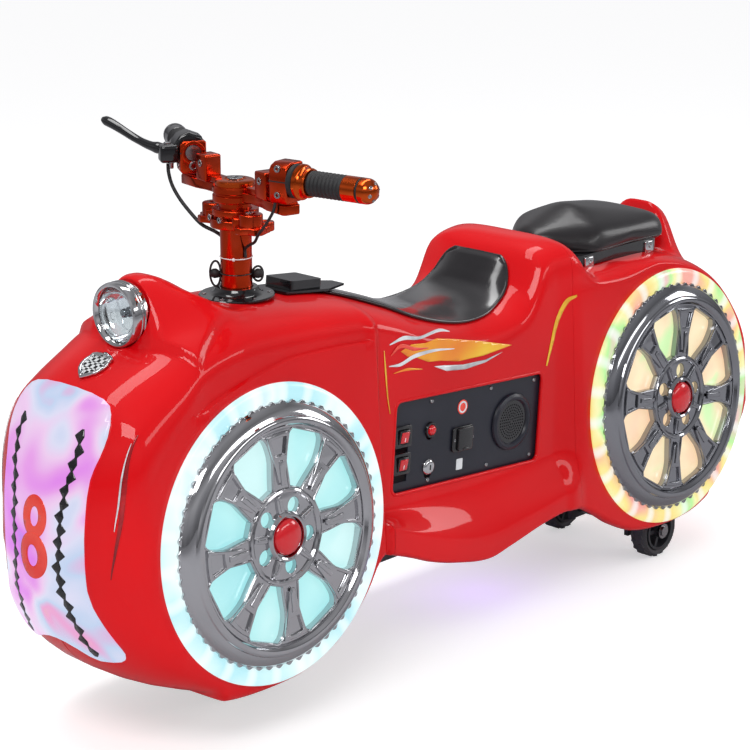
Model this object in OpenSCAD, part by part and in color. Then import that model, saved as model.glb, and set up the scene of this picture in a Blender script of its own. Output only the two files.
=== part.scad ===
// Battery ride-on shaped like a fat-wheeled motorcycle, as used on fairground floors
// Front of the vehicle points along +X, the rider's left along +Y, the floor is z = 0

/* [Body] */
// Distance from the floor to the middle of the big side covers
cover_z = 285; // [260:1:320]
// Distance between the middles of the front and rear side covers
cover_pitch = 856; // [820:1:900]
// Half width of the body at the middle of the side covers
pod_half_w = 142; // [130:1:160]
// Lean of the side covers, tops inwards
cover_lean = 4.3; // [0:0.1:6]
// How far the nose reaches ahead of the front cover's middle
nose_reach = 282; // [260:1:310]
// How far the tail reaches behind the rear cover's middle
tail_reach = 226; // [222:1:250]
// Half width of the waist between the pods
waist_half_w = 120; // [112:1:126]
// Thickness of the moulded shell
shell_t = 6; // [4:0.5:8]

/* [Side covers] */
// Outer radius of the lit ring
ring_r = 200; // [190:1:210]
// Outer radius of the plated cover at its wavy back edge
cover_r = 177; // [168:1:182]
// Outer radius of the cover's front face
face_r = 161; // [150:1:166]
// How far the cover's face stands off the lit disc
cover_h = 25; // [16:1:30]
// Number of spokes in a side cover
spokes = 8; // [6:1:10]
// Number of round holes around the hub
hub_holes = 5; // [4:1:6]
// Number of waves around the cover's back edge
waves = 60; // [40:1:80]
// Diameter of the red centre cap
cap_d = 49; // [40:1:56]

/* [Steering] */
// Diameter of the steering column tube
column_d = 42; // [36:1:50]
// Height of the column's top
column_top = 712; // [690:1:740]
// Height of the handlebar's middle line
bar_z = 741; // [725:1:760]
// Distance of a grip's outer end from the column
grip_reach = 250; // [230:1:280]
// Diameter of the rubber grips
grip_d = 33; // [28:1:36]
// Sweep of the handlebars to the rear
bar_sweep = 20; // [0:1:30]
// Turn of the steering as the machine is parked
parked_turn = -12; // [-20:1:20]

/* [Wheels] */
// Diameter of the driven front wheel
drive_d = 200; // [180:1:220]
// Width of the driven front tyre
drive_w = 52; // [40:1:60]
// Diameter of a rear wheel
rear_d = 90; // [80:1:110]
// Width of a rear wheel
rear_w = 32; // [24:1:40]
// Distance between the middles of the rear wheels
rear_track = 190; // [160:1:210]

/* [Seats] */
// Half width of the front saddle panel
saddle_half_w = 84; // [70:1:92]
// Length of the rear seat
seat_l = 285; // [260:1:300]
// Half width of the rear seat
seat_half_w = 88; // [70:1:95]

/* [Hidden] */

// Running gap between a spinning or turning piece and what carries it
run_gap = 0.05;
// Gap between pieces that are screwed or laid on each other
seat_gap = 0.3;
// Free air between pieces that move past each other
air_gap = 6;

// How far the lit nose panel stands off the shell, and its thickness
lit_gap = 2.6;
lit_t = 3;
// Middle of the length, so that the origin lies under the middle of the box
mid_x = (nose_reach + lit_gap + lit_t - cover_pitch - tail_reach) / 2;
front_x = -mid_x;
rear_x = front_x - cover_pitch;
nose_x = front_x + nose_reach;
tail_x = rear_x - tail_reach;
lean_t = tan(cover_lean);

// Steering axis, just behind the front covers' middle
column_x = front_x - 72;

function clamp(v, a, b) = min(max(v, a), b);
function step(v, a, b) = let(t = clamp((v - a) / (b - a), 0, 1)) t * t * (3 - 2 * t);
function find(x, k, i) = i >= len(k) - 2 || x < k[i + 1][0] ? i : find(x, k, i + 1);
function slope(k, i) = i <= 0 ? (k[1][1] - k[0][1]) / (k[1][0] - k[0][0])
    : i >= len(k) - 1 ? (k[i][1] - k[i - 1][1]) / (k[i][0] - k[i - 1][0])
    : (k[i + 1][1] - k[i - 1][1]) / (k[i + 1][0] - k[i - 1][0]);
function curve_at(x, k, i) = let(
    h = k[i + 1][0] - k[i][0],
    t = clamp((x - k[i][0]) / h, 0, 1))
    (2 * t * t * t - 3 * t * t + 1) * k[i][1] + (t * t * t - 2 * t * t + t) * h * slope(k, i)
    + (3 * t * t - 2 * t * t * t) * k[i + 1][1] + (t * t * t - t * t) * h * slope(k, i + 1);
function curve(x, k) = curve_at(x, k, find(x, k, 0));

// Top line of the body in side view: places behind the front covers' middle and heights over it
tail = -cover_pitch;
top_keys = [[tail - tail_reach, 0], [tail - 214, 66], [tail - 186, 120], [tail - 120, 184], [tail - 40, 216],
    [tail + 60, 224], [tail + 110, 224], [-715, 225], [-690, 227], [-668, 240], [-655, 262], [-640, 277],
    [-612, 281], [-580, 274],
    [-562, 256], [-545, 226], [-510, 205], [-450, 198], [-390, 206], [-330, 224], [-278, 243], [-200, 265],
    [-140, 274], [-72, 281], [20, 284], [100, 272], [144, 253], [190, 232], [222, 210], [250, 165],
    [270, 100], [nose_reach, 20]];
// Bottom edge of the body in side view
bottom_keys = [[tail - tail_reach, -40], [tail - 210, -104], [tail - 160, -160], [tail - 80, -198],
    [tail, -207], [tail + 90, -198], [tail + 150, -172], [tail + 190, -146], [-636, -130], [-600, -125], [-546, -130],
    [-471, -144], [-421, -151], [-349, -137], [-300, -122], [-262, -106], [-230, -94], [-208, -88], [-190, -100], [-170, -127],
    [-150, -148], [-130, -165], [-100, -185], [-60, -200], [-20, -207], [60, -207], [120, -198], [180, -176], [225, -142], [250, -106], [268, -66], [nose_reach, -22]];
// Edge of the footboard, at which its slope turns down into the skirt
crease_keys = [[-660, -98], [-615, -96], [-568, -103], [-488, -115], [-432, -123], [-377, -114], [-271, -73], [-212, -46]];
shelf_top = cover_z - 34;
shelf_out = 31;
// Height at which the flat side ends and the rounded shoulder starts
shoulder_keys = [[tail - tail_reach, -20], [tail - 190, 80], [tail - 120, 160], [tail, 207], [tail + 96, 198],
    [-700, 200], [-650, 206], [-612, 202], [-590, 198], [-560, 180], [-530, 158], [-450, 148], [-390, 156], [-330, 172],
    [-260, 205], [-200, 222], [0, 228], [90, 212], [160, 160], [220, 90], [nose_reach, -10]];
function top_z(x) = cover_z + curve(x - front_x, top_keys);
function bottom_z(x) = cover_z + curve(x - front_x, bottom_keys);
function shoulder_z(x) = cover_z + curve(x - front_x, shoulder_keys);

// Share of the width that is left towards the nose and the tail
flat_r = ring_r + 3;
function nose_fade(x) = let(u = clamp((x - front_x - flat_r) / (nose_reach - flat_r), 0, 1))
    pow(max(1 - pow(u, 1.8), 0), 1 / 1.6);
function tail_fade(x) = let(u = clamp((rear_x - x - flat_r) / (tail_reach - flat_r), 0, 1))
    1 - 0.3 * (1 - sqrt(max(1 - u * u, 0)));
function pod_w(z) = pod_half_w - lean_t * (z - cover_z);
function bulge(x, z) = let(high = 1 - step(z - cover_z, 196, 236))
    max(1 - step(front_x - x, flat_r + 2, flat_r + 16), high * (1 - step(x - rear_x, flat_r + 2, flat_r + 58)));
function crease_z(x) = cover_z + curve(x - front_x, crease_keys);
// The waist, from 0 in the pods to 1 between them
function waist(x) = step(x, rear_x + flat_r + 4, rear_x + flat_r + 50) * (1 - step(x, front_x - flat_r - 14, front_x - flat_r - 4));
function flare(x, z) = let(t = clamp((shelf_top - z) / (shelf_top - crease_z(x)), 0, 1))
    shelf_out * waist(x) * (0.75 * t * t * (3 - 2 * t) + 0.25 * t);
// The nose is narrower towards its underside
function chin(x, z) = 1 - 0.38 * step(x, front_x + 165, nose_x) * step(cover_z + 10 - z, 0, 120);
function side_w(x, z) = nose_fade(x) * tail_fade(x) * chin(x, z)
    * (waist_half_w + (pod_w(z) - waist_half_w) * bulge(x, z) + flare(x, z));

// Hump over the headlamp, which fades into the tank
lamp_front = front_x + 139;
lamp_z = cover_z + 294;
lamp_r = 42;
lamp_depth = 26;
function lamp_hump(x, y) = let(
    rise = step(x, lamp_front - 4, lamp_front - 28) * (1 - step(x, lamp_front - 28, lamp_front - 160)),
    w = 50 + 34 * (1 - step(x, lamp_front - 150, lamp_front - 20)))
    70 * rise * exp(-pow(abs(y) / w, 3.2));
// Raised lip behind the rear seat
lip_x = front_x - 926;
function tail_lip(x, y) = 80 * step(lip_x - x, 0, 30) * (1 - step(lip_x - x, 44, 60)) * exp(-pow(abs(y) / 60, 4));
function hump(x, y) = lamp_hump(x, y) + tail_lip(x, y);

// Height of the rounding between the side and the belly
round_keys = [[tail - tail_reach, 30], [tail - 200, 60], [tail - 150, 40], [tail - 90, 16], [-700, 12], [-560, 8],
    [-280, 8], [-209, 12], [90, 20], [150, 50], [210, 84], [250, 96], [272, 84], [nose_reach, 30]];
function low_z(x) = bottom_z(x) + curve(x - front_x, round_keys);
// How boxy the top of a cross-section is: 1 is round, less is squarer
function top_power(x) = 0.8 - 0.32 * step(x, rear_x + 150, rear_x + 200) * (1 - step(x, front_x - 580, front_x - 552));
// Half width of the opening in the belly; it narrows to a seam below the nose and the tail
seam_w = 1;
lip = 14;
closed_at = 120;
function opening(x) = let(m = max(step(x, front_x + closed_at - 20, front_x + closed_at),
    step(rear_x - x, closed_at - 20, closed_at))) seam_w * m + (side_w(x, low_z(x)) - lip) * (1 - m);
belly_n = 4;
side_n = 6;
// Height of the side's points: even in the pods, on the footboard's edges in the waist
function side_z(x, j) = let(
    zl = low_z(x), zs = shoulder_z(x), zc = crease_z(x), even = zl + (zs - zl) * j / side_n,
    own = j == 0 ? zl : j == 1 ? zc : j == 2 ? zc + 0.35 * (shelf_top - zc) : j == 3 ? zc + 0.7 * (shelf_top - zc)
        : j == 4 ? shelf_top : shelf_top + 0.5 * (zs - shelf_top))
    even + waist(x) * (own - even);
round_n = 8;
// Half of a cross-section, from the opening over the belly and the side to the middle of the top
function half_section(x, out) = let(
    zb = bottom_z(x), zl = low_z(x), zs = shoulder_z(x), zt = top_z(x), b = opening(x),
    wl = side_w(x, zl), w = side_w(x, zs), k = 1 + out / w, e = top_power(x))
    concat(
        [for (j = [0 : belly_n - 1]) let(a = 90 * j / belly_n, y = b + (wl - b) * pow(sin(a), 0.8))
            [j == 0 ? b : max(y + out * pow(sin(a), 0.5), b), zb + (zl - zb) * (1 - pow(cos(a), 0.8)) - out * pow(cos(a), 0.5)]],
        [for (j = [0 : side_n - 1]) let(z = side_z(x, j)) [side_w(x, z) * k, z]],
        [for (j = [0 : round_n]) let(
            a = 90 * j / round_n,
            y = j == round_n ? 0 : w * pow(cos(a), e),
            z = zs + (zt - zs) * pow(sin(a), e))
            [y * k, z + hump(x, y) + out * pow(sin(a), 0.5)]]);
function section(x, out, at) = let(h = half_section(x, out), n = len(h))
    concat([for (p = h) [at, p[0], p[1]]], [for (i = [n - 2 : -1 : 0]) [at, -h[i][0], h[i][1]]]);

// Places behind the front covers' middle at which cross-sections are drawn
cuts = [nose_reach - 0.6, 278, 270, 258, 242, 224, 203, 180, 156, 140, 131, 121, 107, 87, 61, 33, 0, -40, -80,
    -120, -160, -196, -204, -209, -214, -219, -224, -245, -280, -320, -360, -400, -440, -480, -512, -534, -548, -558,
    -568, -580, -600, -622, -638, -650, -660, -672, -690, -720, -760, -790, -820, -856, -900, -926, -936, -946, -956, -970, -978, -986,
    -998, -1006, -1020, -1036, -1050, -1059, -1068, -1075, -1080, tail - tail_reach + 0.6];
// The shell is moulded in three, which meet behind the tank and behind the hump
front_joint = -219;
rear_joint = -630;
function between(a, b) = [for (c = concat([a], [for (c = cuts) if (c < a - 2 && c > b + 2) c], [b])) front_x + c];

function grid(o, n, m, flip) = [for (i = [0 : n - 2], j = [0 : m - 2]) each let(
    a = o + i * m + j, b = a + 1, c = a + m, d = c + 1)
    flip ? [[a, d, b], [a, c, d]] : [[a, b, d], [a, d, c]]];
// A shell that is open below: an outer and an inner skin joined along the opening.
// first and last tell whether its two ends are closed, as at the nose and the tail
module open_shell(xs, t, first, last) {
    n = len(xs);
    outer = [for (x = xs) section(x, 0, x)];
    inner = [for (x = xs) section(x, -t, clamp(x, tail_x + t, nose_x - t))];
    m = len(outer[0]);
    o = n * m;
    z = (n - 1) * m;
    polyhedron(concat([for (s = outer) each s], [for (s = inner) each s]), concat(
        grid(0, n, m, false), grid(o, n, m, true),
        [for (i = [0 : n - 2]) let(a = i * m, b = a + m, c = a + m - 1, d = b + m - 1) each [
            [a, b, o + b], [a, o + b, o + a], [c, o + d, d], [c, o + c, o + d]]],
        first ? [[for (j = [m - 1 : -1 : 0]) j], [for (j = [0 : m - 1]) o + j], [0, o, o + m - 1], [0, o + m - 1, m - 1]]
            : [for (j = [0 : m - 2]) each [[j + 1, j, o + j], [j + 1, o + j, o + j + 1]]],
        last ? [[for (j = [0 : m - 1]) z + j], [for (j = [m - 1 : -1 : 0]) o + z + j],
                [z, z + m - 1, o + z + m - 1], [z, o + z + m - 1, o + z]]
            : [for (j = [z : z + m - 2]) each [[j, j + 1, o + j], [j + 1, o + j + 1, o + j]]]));
}
// Strip that closes the seam of the belly between two places
function belly(x, d) = let(e = 0.5, v = [bottom_z(x) - bottom_z(x + e), e], u = v / norm(v)) [x, bottom_z(x)] + d * u;
module seam_strip(xs) rotate([90, 0, 0]) linear_extrude(8, center = true)
    polygon(concat([for (x = xs) belly(x, 0.8)], [for (i = [len(xs) - 1 : -1 : 0]) belly(xs[i], shell_t - 1.4)]));
// Side window with the switches, in the waist between the pods
panel_x = front_x - 408;
panel_z = cover_z + 39;
panel_l = 318;
panel_h = 134;
panel_tilt = 4.2;
panel_t = 3;
panel_y = waist_half_w - shell_t - seat_gap;
// How far the plate reaches behind the window's edge
panel_lap = 8;
module at_panel(side) translate([panel_x, side * panel_y, panel_z]) rotate([0, panel_tilt * -1, 0])
    rotate([90, 0, 180 * (side + 1) / 2]) children();

module rounded(l, h, r) {
    square([l - 2 * r, h], center = true);
    square([l, h - 2 * r], center = true);
    for (i = [-1, 1], j = [-1, 1]) translate([i * (l / 2 - r), j * (h / 2 - r)]) circle(r, $fn = 24);
}

// Frame data
crown_z = drive_d + 12;
crown_h = 24;
flange_r = 51;
head_z0 = crown_z + crown_h + seat_gap;
rail_z = 150;
rail_s = 24;
rail_y = 58;
tray_z = rail_z + rail_s;
cross_x = front_x - 592;
cross_z = 232;
rear_axle_x = rear_x - 35;
rear_axle_d = 16;
drive_axle_d = 12;
column_hole = column_d / 2 + air_gap;
tank_top = top_z(column_x);
flange_z = tank_top + 0.5;

module front_shell() color("#d3121a") difference() {
    union() {
        open_shell(between(nose_reach - 0.6, front_joint), shell_t, true, false);
        seam_strip([for (c = [276, 270, 258, 242, 224, 203, 180, 156, 140, 131, 121, 112]) front_x + c]);
    }
    translate([column_x, 0, tank_top - 30]) cylinder(r = column_hole, h = 60, $fn = 48);
    translate([column_x, 0, flange_z - seat_gap]) cylinder(r = flange_r + seat_gap, h = 12, $fn = 64);
    translate([lamp_front - lamp_depth - seat_gap, 0, lamp_z]) rotate([0, 90, 0]) cylinder(r = lamp_r + seat_gap, h = 60, $fn = 64);
}
module middle_shell() color("#d3121a") difference() {
    open_shell(between(front_joint - seat_gap, rear_joint), shell_t, false, false);
    for (side = [-1, 1]) at_panel(side) translate([0, 0, -4]) linear_extrude(30) rounded(panel_l, panel_h, 7);
}
module rear_shell() color("#d3121a") {
    open_shell(between(rear_joint - seat_gap, tail - tail_reach + 0.6), shell_t, false, true);
    seam_strip([for (c = [-968, -975, -1000, -1030, -1059, -1068, -1075]) front_x + c]);
}

// Lit panel on the nose
function within(x, y, z) = let(zb = bottom_z(x), zl = low_z(x), zs = shoulder_z(x), zt = top_z(x), w = side_w(x, zs))
    z < zb || z > zt ? false
    : z > zs ? y <= w * pow(cos(asin(clamp(pow((z - zs) / (zt - zs), 1.25), 0, 1))), 0.8)
    : z > zl ? y <= side_w(x, z)
    : y <= w * pow(sin(acos(clamp(pow(1 - (z - zb) / (zl - zb), 1.25), 0, 1))), 0.8);
// Where the nose's skin lies ahead of a point of its cross-section
function skin_x(y, z, a, b, n) = n == 0 ? a : let(m = (a + b) / 2)
    within(m, y, z) ? skin_x(y, z, m, b, n - 1) : skin_x(y, z, a, m, n - 1);
function nose_at(y, z) = skin_x(abs(y), z, front_x + 120, nose_x, 14);
// Half width of the lit panel by its height over the covers' middle: an hourglass
lit_keys = [[-121, 88], [-116, 98], [-102, 102], [-82, 96], [-62, 89], [-24, 78], [20, 76], [84, 77], [125, 79],
    [150, 86], [178, 88], [198, 82], [208, 72], [213, 60]];
lit_rows = [-121, -116, -102, -82, -62, -40, -10, 25, 60, 95, 125, 150, 165, 180, 198, 208, 213];
lit_n = len(lit_rows) - 1;
lit_m = 8;
module sheet_on_nose(gap, t) {
    pts = [for (side = [gap, gap + t], i = [0 : lit_n], j = [0 : lit_m]) let(
        y = curve(lit_rows[i], lit_keys) * (2 * j / lit_m - 1), z = cover_z + lit_rows[i]) [nose_at(y, z) + side, y, z]];
    m = lit_m + 1;
    o = (lit_n + 1) * m;
    polyhedron(pts, concat(
        [for (i = [0 : lit_n - 1], j = [0 : lit_m - 1]) each let(a = i * m + j) [
            [a, a + 1, a + m + 1], [a, a + m + 1, a + m], [o + a, o + a + m + 1, o + a + 1], [o + a, o + a + m, o + a + m + 1]]],
        [for (i = [0 : lit_n - 1], e = [0, 1]) each let(a = i * m + e * lit_m, b = a + m)
            e == 0 ? [[a, b, o + b], [a, o + b, o + a]] : [[a, o + b, b], [a, o + a, o + b]]],
        [for (j = [0 : lit_m - 1], e = [0, 1]) each let(a = j + e * lit_n * m, b = a + 1)
            e == 0 ? [[a, o + b, b], [a, o + a, o + b]] : [[a, b, o + b], [a, o + b, o + a]]]));
}
module nose_light_panel() color("#f3c6ee") sheet_on_nose(lit_gap, lit_t);

// Headlamp: a plated drum half sunk in its hump
module headlamp_housing() color("#c8c8cc") translate([lamp_front, 0, lamp_z]) rotate([0, 90, 0]) rotate_extrude($fn = 64)
    polygon([[0, -lamp_depth], [lamp_r - 4, -lamp_depth], [lamp_r, 4 - lamp_depth], [lamp_r, -4], [lamp_r - 3, 0], [lamp_r - 7, 0],
        [lamp_r - 9, -4], [lamp_r - 12, -12], [lamp_r - 22, -19], [0, -22]]);
module headlamp_lens() color("#e8f0f4") translate([lamp_front, 0, lamp_z]) rotate([0, 90, 0]) rotate_extrude($fn = 64)
    polygon([[0, -1], [10, -1.3], [20, -2.2], [lamp_r - 9.8, -3.4], [lamp_r - 11, -6], [20, -5], [0, -4]]);

// Shield badge on the nose above the lit panel
shield_x = front_x + 172;
module nose_shield() color("#bfbfc4") translate(on_skin(shield_x, 0, 0.5)) rotate([0, atan2(skin_up(shield_x, 0).x, skin_up(shield_x, 0).z), 0])
    linear_extrude(4) polygon([[-17, -22], [-12, 0], [-17, 22], [4, 19], [16, 8], [19, 0], [16, -8], [4, -19]]);

// Side covers: local z points out of the body's side
module at_cover(x, side) mirror([0, side < 0 ? 1 : 0, 0]) translate([x, pod_half_w, cover_z])
    rotate([cover_lean, 0, 0]) rotate([-90, 0, 0]) children();
disc_t = 6;
disc_gap = 0.5;
module light_disc() color("#d8f4f6") rotate_extrude($fn = 96) polygon([[0, disc_gap], [ring_r - 1.5, disc_gap],
    [ring_r, 2.5], [ring_r - 2, disc_t - 1], [ring_r - 8, disc_t], [0, disc_t]]);
cover_z0 = disc_t + seat_gap;
window_out = 141;
window_in = 67;
hub_r = 62;
hole_ring_r = 42;
hole_d = 23;
face_t = 9;
function wave_edge(r, a) = [for (i = [0 : 4 * waves - 1]) let(t = i * 90 / waves)
    (r + a * cos(waves * t)) * [cos(t), sin(t)]];
// One window between two spokes, shaped like a petal: share of its length and half angle
petal_keys = [[0, 8.4], [0.06, 9.6], [0.25, 12.5], [0.5, 15.2], [0.8, 14.2], [0.93, 12.6], [1, 10.2]];
module window() let(steps = [0, 0.05, 0.15, 0.28, 0.42, 0.56, 0.7, 0.82, 0.9, 0.96, 1], n = len(steps) - 1)
    polygon([for (j = [0 : n]) let(a = curve(steps[j], petal_keys) * 8 / spokes, r = window_in + (window_out - window_in) * steps[j])
            r * [cos(a), sin(a)],
        for (j = [n : -1 : 0]) let(a = curve(steps[j], petal_keys) * 8 / spokes, r = window_in + (window_out - window_in) * steps[j])
            r * [cos(a), -sin(a)]]);
window_turn = 24.2;
hole_turn = 28;
// The rear wheels' covers were fitted with another turn
rear_turn = -56;
module side_cover(turn) color("#b9bcc2") {
    difference() {
        union() {
            translate([0, 0, cover_z0]) linear_extrude(8) polygon(wave_edge(cover_r - 2, 2));
            translate([0, 0, cover_z0 + 8]) cylinder(r1 = cover_r - 5, r2 = face_r, h = cover_h - cover_z0 - 8, $fn = 96);
        }
        translate([0, 0, -1]) cylinder(r = window_out + 3, h = cover_h + 2, $fn = 96);
    }
    translate([0, 0, cover_h - face_t - 6]) linear_extrude(face_t) difference() {
        circle(window_out + 5, $fn = 96);
        for (i = [0 : spokes - 1]) rotate(turn + window_turn + i * 360 / spokes) window();
        for (i = [0 : hub_holes - 1]) rotate(turn + hole_turn + i * 360 / hub_holes) translate([hole_ring_r, 0]) circle(d = hole_d, $fn = 32);
    }
    difference() {
        translate([0, 0, cover_z0]) cylinder(r = hub_r, h = cover_h - cover_z0 - 4, $fn = 64);
        translate([0, 0, disc_t - 1]) cylinder(r = hub_r - 4, h = cover_h, $fn = 64);
    }
}
module centre_cap() color("#c4202a") translate([0, 0, cover_h - 6 + seat_gap]) rotate_extrude($fn = 48)
    polygon([[0, 0], [cap_d / 2, 0], [cap_d / 2, 3], [cap_d / 2 - 4, 6.5], [cap_d / 4, 9], [0, 10]]);
module light_disc_front_left() at_cover(front_x, 1) light_disc();
module light_disc_front_right() at_cover(front_x, -1) light_disc();
module light_disc_rear_left() at_cover(rear_x, 1) light_disc();
module light_disc_rear_right() at_cover(rear_x, -1) light_disc();
module side_cover_front_left() at_cover(front_x, 1) side_cover(0);
module side_cover_front_right() at_cover(front_x, -1) side_cover(0);
module side_cover_rear_left() at_cover(rear_x, 1) side_cover(rear_turn);
module side_cover_rear_right() at_cover(rear_x, -1) side_cover(rear_turn);
module cap_front_left() at_cover(front_x, 1) centre_cap();
module cap_front_right() at_cover(front_x, -1) centre_cap();
module cap_rear_left() at_cover(rear_x, 1) centre_cap();
module cap_rear_right() at_cover(rear_x, -1) centre_cap();

// Saddle panel that lies on the dip behind the tank
function skin_z(x, y) = let(zs = shoulder_z(x), w = side_w(x, zs), e = top_power(x))
    zs + (top_z(x) - zs) * pow(sin(acos(clamp(pow(abs(y) / w, 1 / e), 0, 1))), e) + hump(x, y);
function skin_up(x, y) = let(
    gx = (skin_z(x + 2, y) - skin_z(x - 2, y)) / 4,
    gy = (skin_z(x, y + 2) - skin_z(x, y - 2)) / 4,
    v = [-gx, -gy, 1]) v / norm(v);
function on_skin(x, y, h) = [x, y, skin_z(x, y)] + h * skin_up(x, y);
saddle_cuts = [-212, -228, -245, -262, -280, -300, -320, -340, -360, -380, -400, -420, -440, -460, -480, -496, -512, -523, -534,
    -541, -548, -553, -558, -563];
saddle_keys = [[-563, 66], [-535, 72], [-470, saddle_half_w], [-380, saddle_half_w], [-300, 76], [-245, 52], [-212, 18]];
module saddle_panel() color("#1b1b1d") {
    n = len(saddle_cuts);
    m = 13;
    o = n * m;
    pts = [for (h = [1.3, 5], c = saddle_cuts, j = [0 : m - 1]) let(y = curve(c, saddle_keys) * (2 * j / (m - 1) - 1))
        on_skin(front_x + c, y, h)];
    polyhedron(pts, concat(grid(0, n, m, false), grid(o, n, m, true),
        [for (i = [0 : n - 2]) let(a = i * m, b = a + m, c = a + m - 1, d = b + m - 1) each [
            [a, b, o + b], [a, o + b, o + a], [c, o + d, d], [c, o + c, o + d]]],
        [for (j = [0 : m - 2], e = [0, 1]) let(a = e * (n - 1) * m + j, b = a + 1) each
            e == 0 ? [[a, o + b, b], [a, o + a, o + b]] : [[a, b, o + b], [a, o + b, o + a]]]));
}

// Rear seat, a padded block on plated struts
seat_front = front_x - 660;
seat_z = cover_z + 229;
module rear_seat() color("#26262a") hull() {
    for (k = [-1, 1]) {
        translate([seat_front - 80, k * (seat_half_w - 12), seat_z + 12]) sphere(12, $fn = 20);
        translate([seat_front - seat_l + 40, k * (seat_half_w - 12), seat_z + 12]) sphere(12, $fn = 20);
        translate([seat_front - 92, k * (seat_half_w - 28), seat_z + 26]) sphere(25, $fn = 20);
        translate([seat_front - seat_l + 46, k * (seat_half_w - 27), seat_z + 23]) sphere(23, $fn = 20);
        translate([seat_front - 52, k * (seat_half_w - 42), seat_z + 18]) sphere(16, $fn = 20);
    }
    translate([seat_front - 104, 0, seat_z + 54]) scale([1, 2, 1]) sphere(19, $fn = 20);
    translate([seat_front - seat_l + 70, 0, seat_z + 36]) scale([1, 2, 1]) sphere(19, $fn = 20);
    translate([seat_front - 22, 0, seat_z + 32]) scale([1, 2.6, 1]) sphere(14, $fn = 20);
}
strut_y = 56;
module seat_struts() color("#c8c8cc") for (x = [seat_front - 105, seat_front - seat_l + 60], k = [-1, 1])
    translate([x, k * strut_y, skin_z(x, strut_y) + 1]) cylinder(d = 14, h = seat_z - skin_z(x, strut_y) - 1 - seat_gap, $fn = 24);

// Switch panel on the left, plain service panel on the right
plate_l = panel_l + 2 * panel_lap;
plate_h = panel_h + 2 * panel_lap;
sound_x = 98;
module panel_plate() translate([0, 0, -panel_t]) linear_extrude(panel_t) rounded(plate_l, plate_h, 10);
switch_spots = [[-138, -7], [-138, -41]];
module control_panel() color("#17181c") at_panel(1) difference() {
    panel_plate();
    for (s = switch_spots) translate([s[0], s[1], -5]) linear_extrude(10) square([29, 22], center = true);
    translate([-79, 8, -5]) cylinder(d = 16, h = 10, $fn = 32);
    translate([-79, -48, -5]) cylinder(d = 16, h = 10, $fn = 32);
    translate([-10, -13, -5]) cylinder(d = 30, h = 10, $fn = 32);
    translate([sound_x, 0, -5]) cylinder(d = 68, h = 10, $fn = 48);
}
module service_panel() color("#17181c") at_panel(-1) panel_plate();
module rocker_switches() color("#b3161c") at_panel(1) for (s = switch_spots) translate([s[0], s[1], 0]) {
    translate([0, 0, -16]) linear_extrude(17) square([28.4, 21.4], center = true);
    translate([0, 0, seat_gap]) linear_extrude(2.5) rounded(34, 27, 2);
    translate([0, 0, 2]) rotate([0, 8, 0]) translate([-12, -9, 0]) cube([24, 18, 3]);
}
module push_button() color("#c62838") at_panel(1) translate([-79, 8, 0]) {
    translate([0, 0, -14]) cylinder(d = 15.4, h = 15, $fn = 32);
    translate([0, 0, seat_gap]) cylinder(d = 21, h = 2, $fn = 32);
    translate([0, 0, 2]) cylinder(d = 14, h = 4, $fn = 32);
}
module key_switch() color("#b0b0b4") at_panel(1) translate([-79, -48, 0]) difference() {
    union() {
        translate([0, 0, -16]) cylinder(d = 15.4, h = 17, $fn = 32);
        translate([0, 0, seat_gap]) cylinder(d = 20, h = 2.5, $fn = 6);
        cylinder(d = 15, h = 5, $fn = 32);
    }
    translate([-1, -4, 3]) cube([2, 8, 4]);
}
module charge_socket() color("#101114") at_panel(1) translate([-10, -13, 0]) {
    translate([0, 0, -18]) cylinder(d = 29, h = 19, $fn = 32);
    translate([0, 0, seat_gap]) linear_extrude(3) rounded(40, 36, 6);
}
module loudspeaker() color("#1d1e22") at_panel(1) translate([sound_x, 0, 0]) {
    translate([0, 0, -26]) cylinder(r1 = 20, r2 = 33.4, h = 26.6, $fn = 48);
    difference() {
        translate([0, 0, seat_gap]) cylinder(d = 80, h = 4, $fn = 48);
        translate([0, 0, 1.5]) cylinder(d1 = 50, d2 = 68, h = 4, $fn = 48);
    }
}

// Fixed flange around the column on the tank

module column_flange() color("#1a1a1c") translate([column_x, 0, flange_z]) difference() {
    union() {
        cylinder(r = flange_r, h = 4, $fn = 64);
        translate([0, 0, 4]) cylinder(r1 = 34, r2 = 28, h = 9, $fn = 64);
    }
    translate([0, 0, -1]) cylinder(r = column_d / 2 + run_gap, h = 20, $fn = 64);
}
// Display box on its wedge-shaped plate, on top of the tank
display_x = column_x - 100;
display_z = top_z(display_x) + 2;
display_tilt = 6;
module at_display() translate([display_x, 0, display_z]) rotate([0, -display_tilt, 0]) children();
module display_base() color("#151517") at_display() linear_extrude(3)
    polygon([[38, -30], [42, 0], [38, 30], [-40, 34], [-92, 12], [-92, -12], [-40, -34]]);
module display_box() color("#202024") at_display() translate([-4, 0, 3 + seat_gap]) linear_extrude(13) rounded(58, 52, 4);

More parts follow.
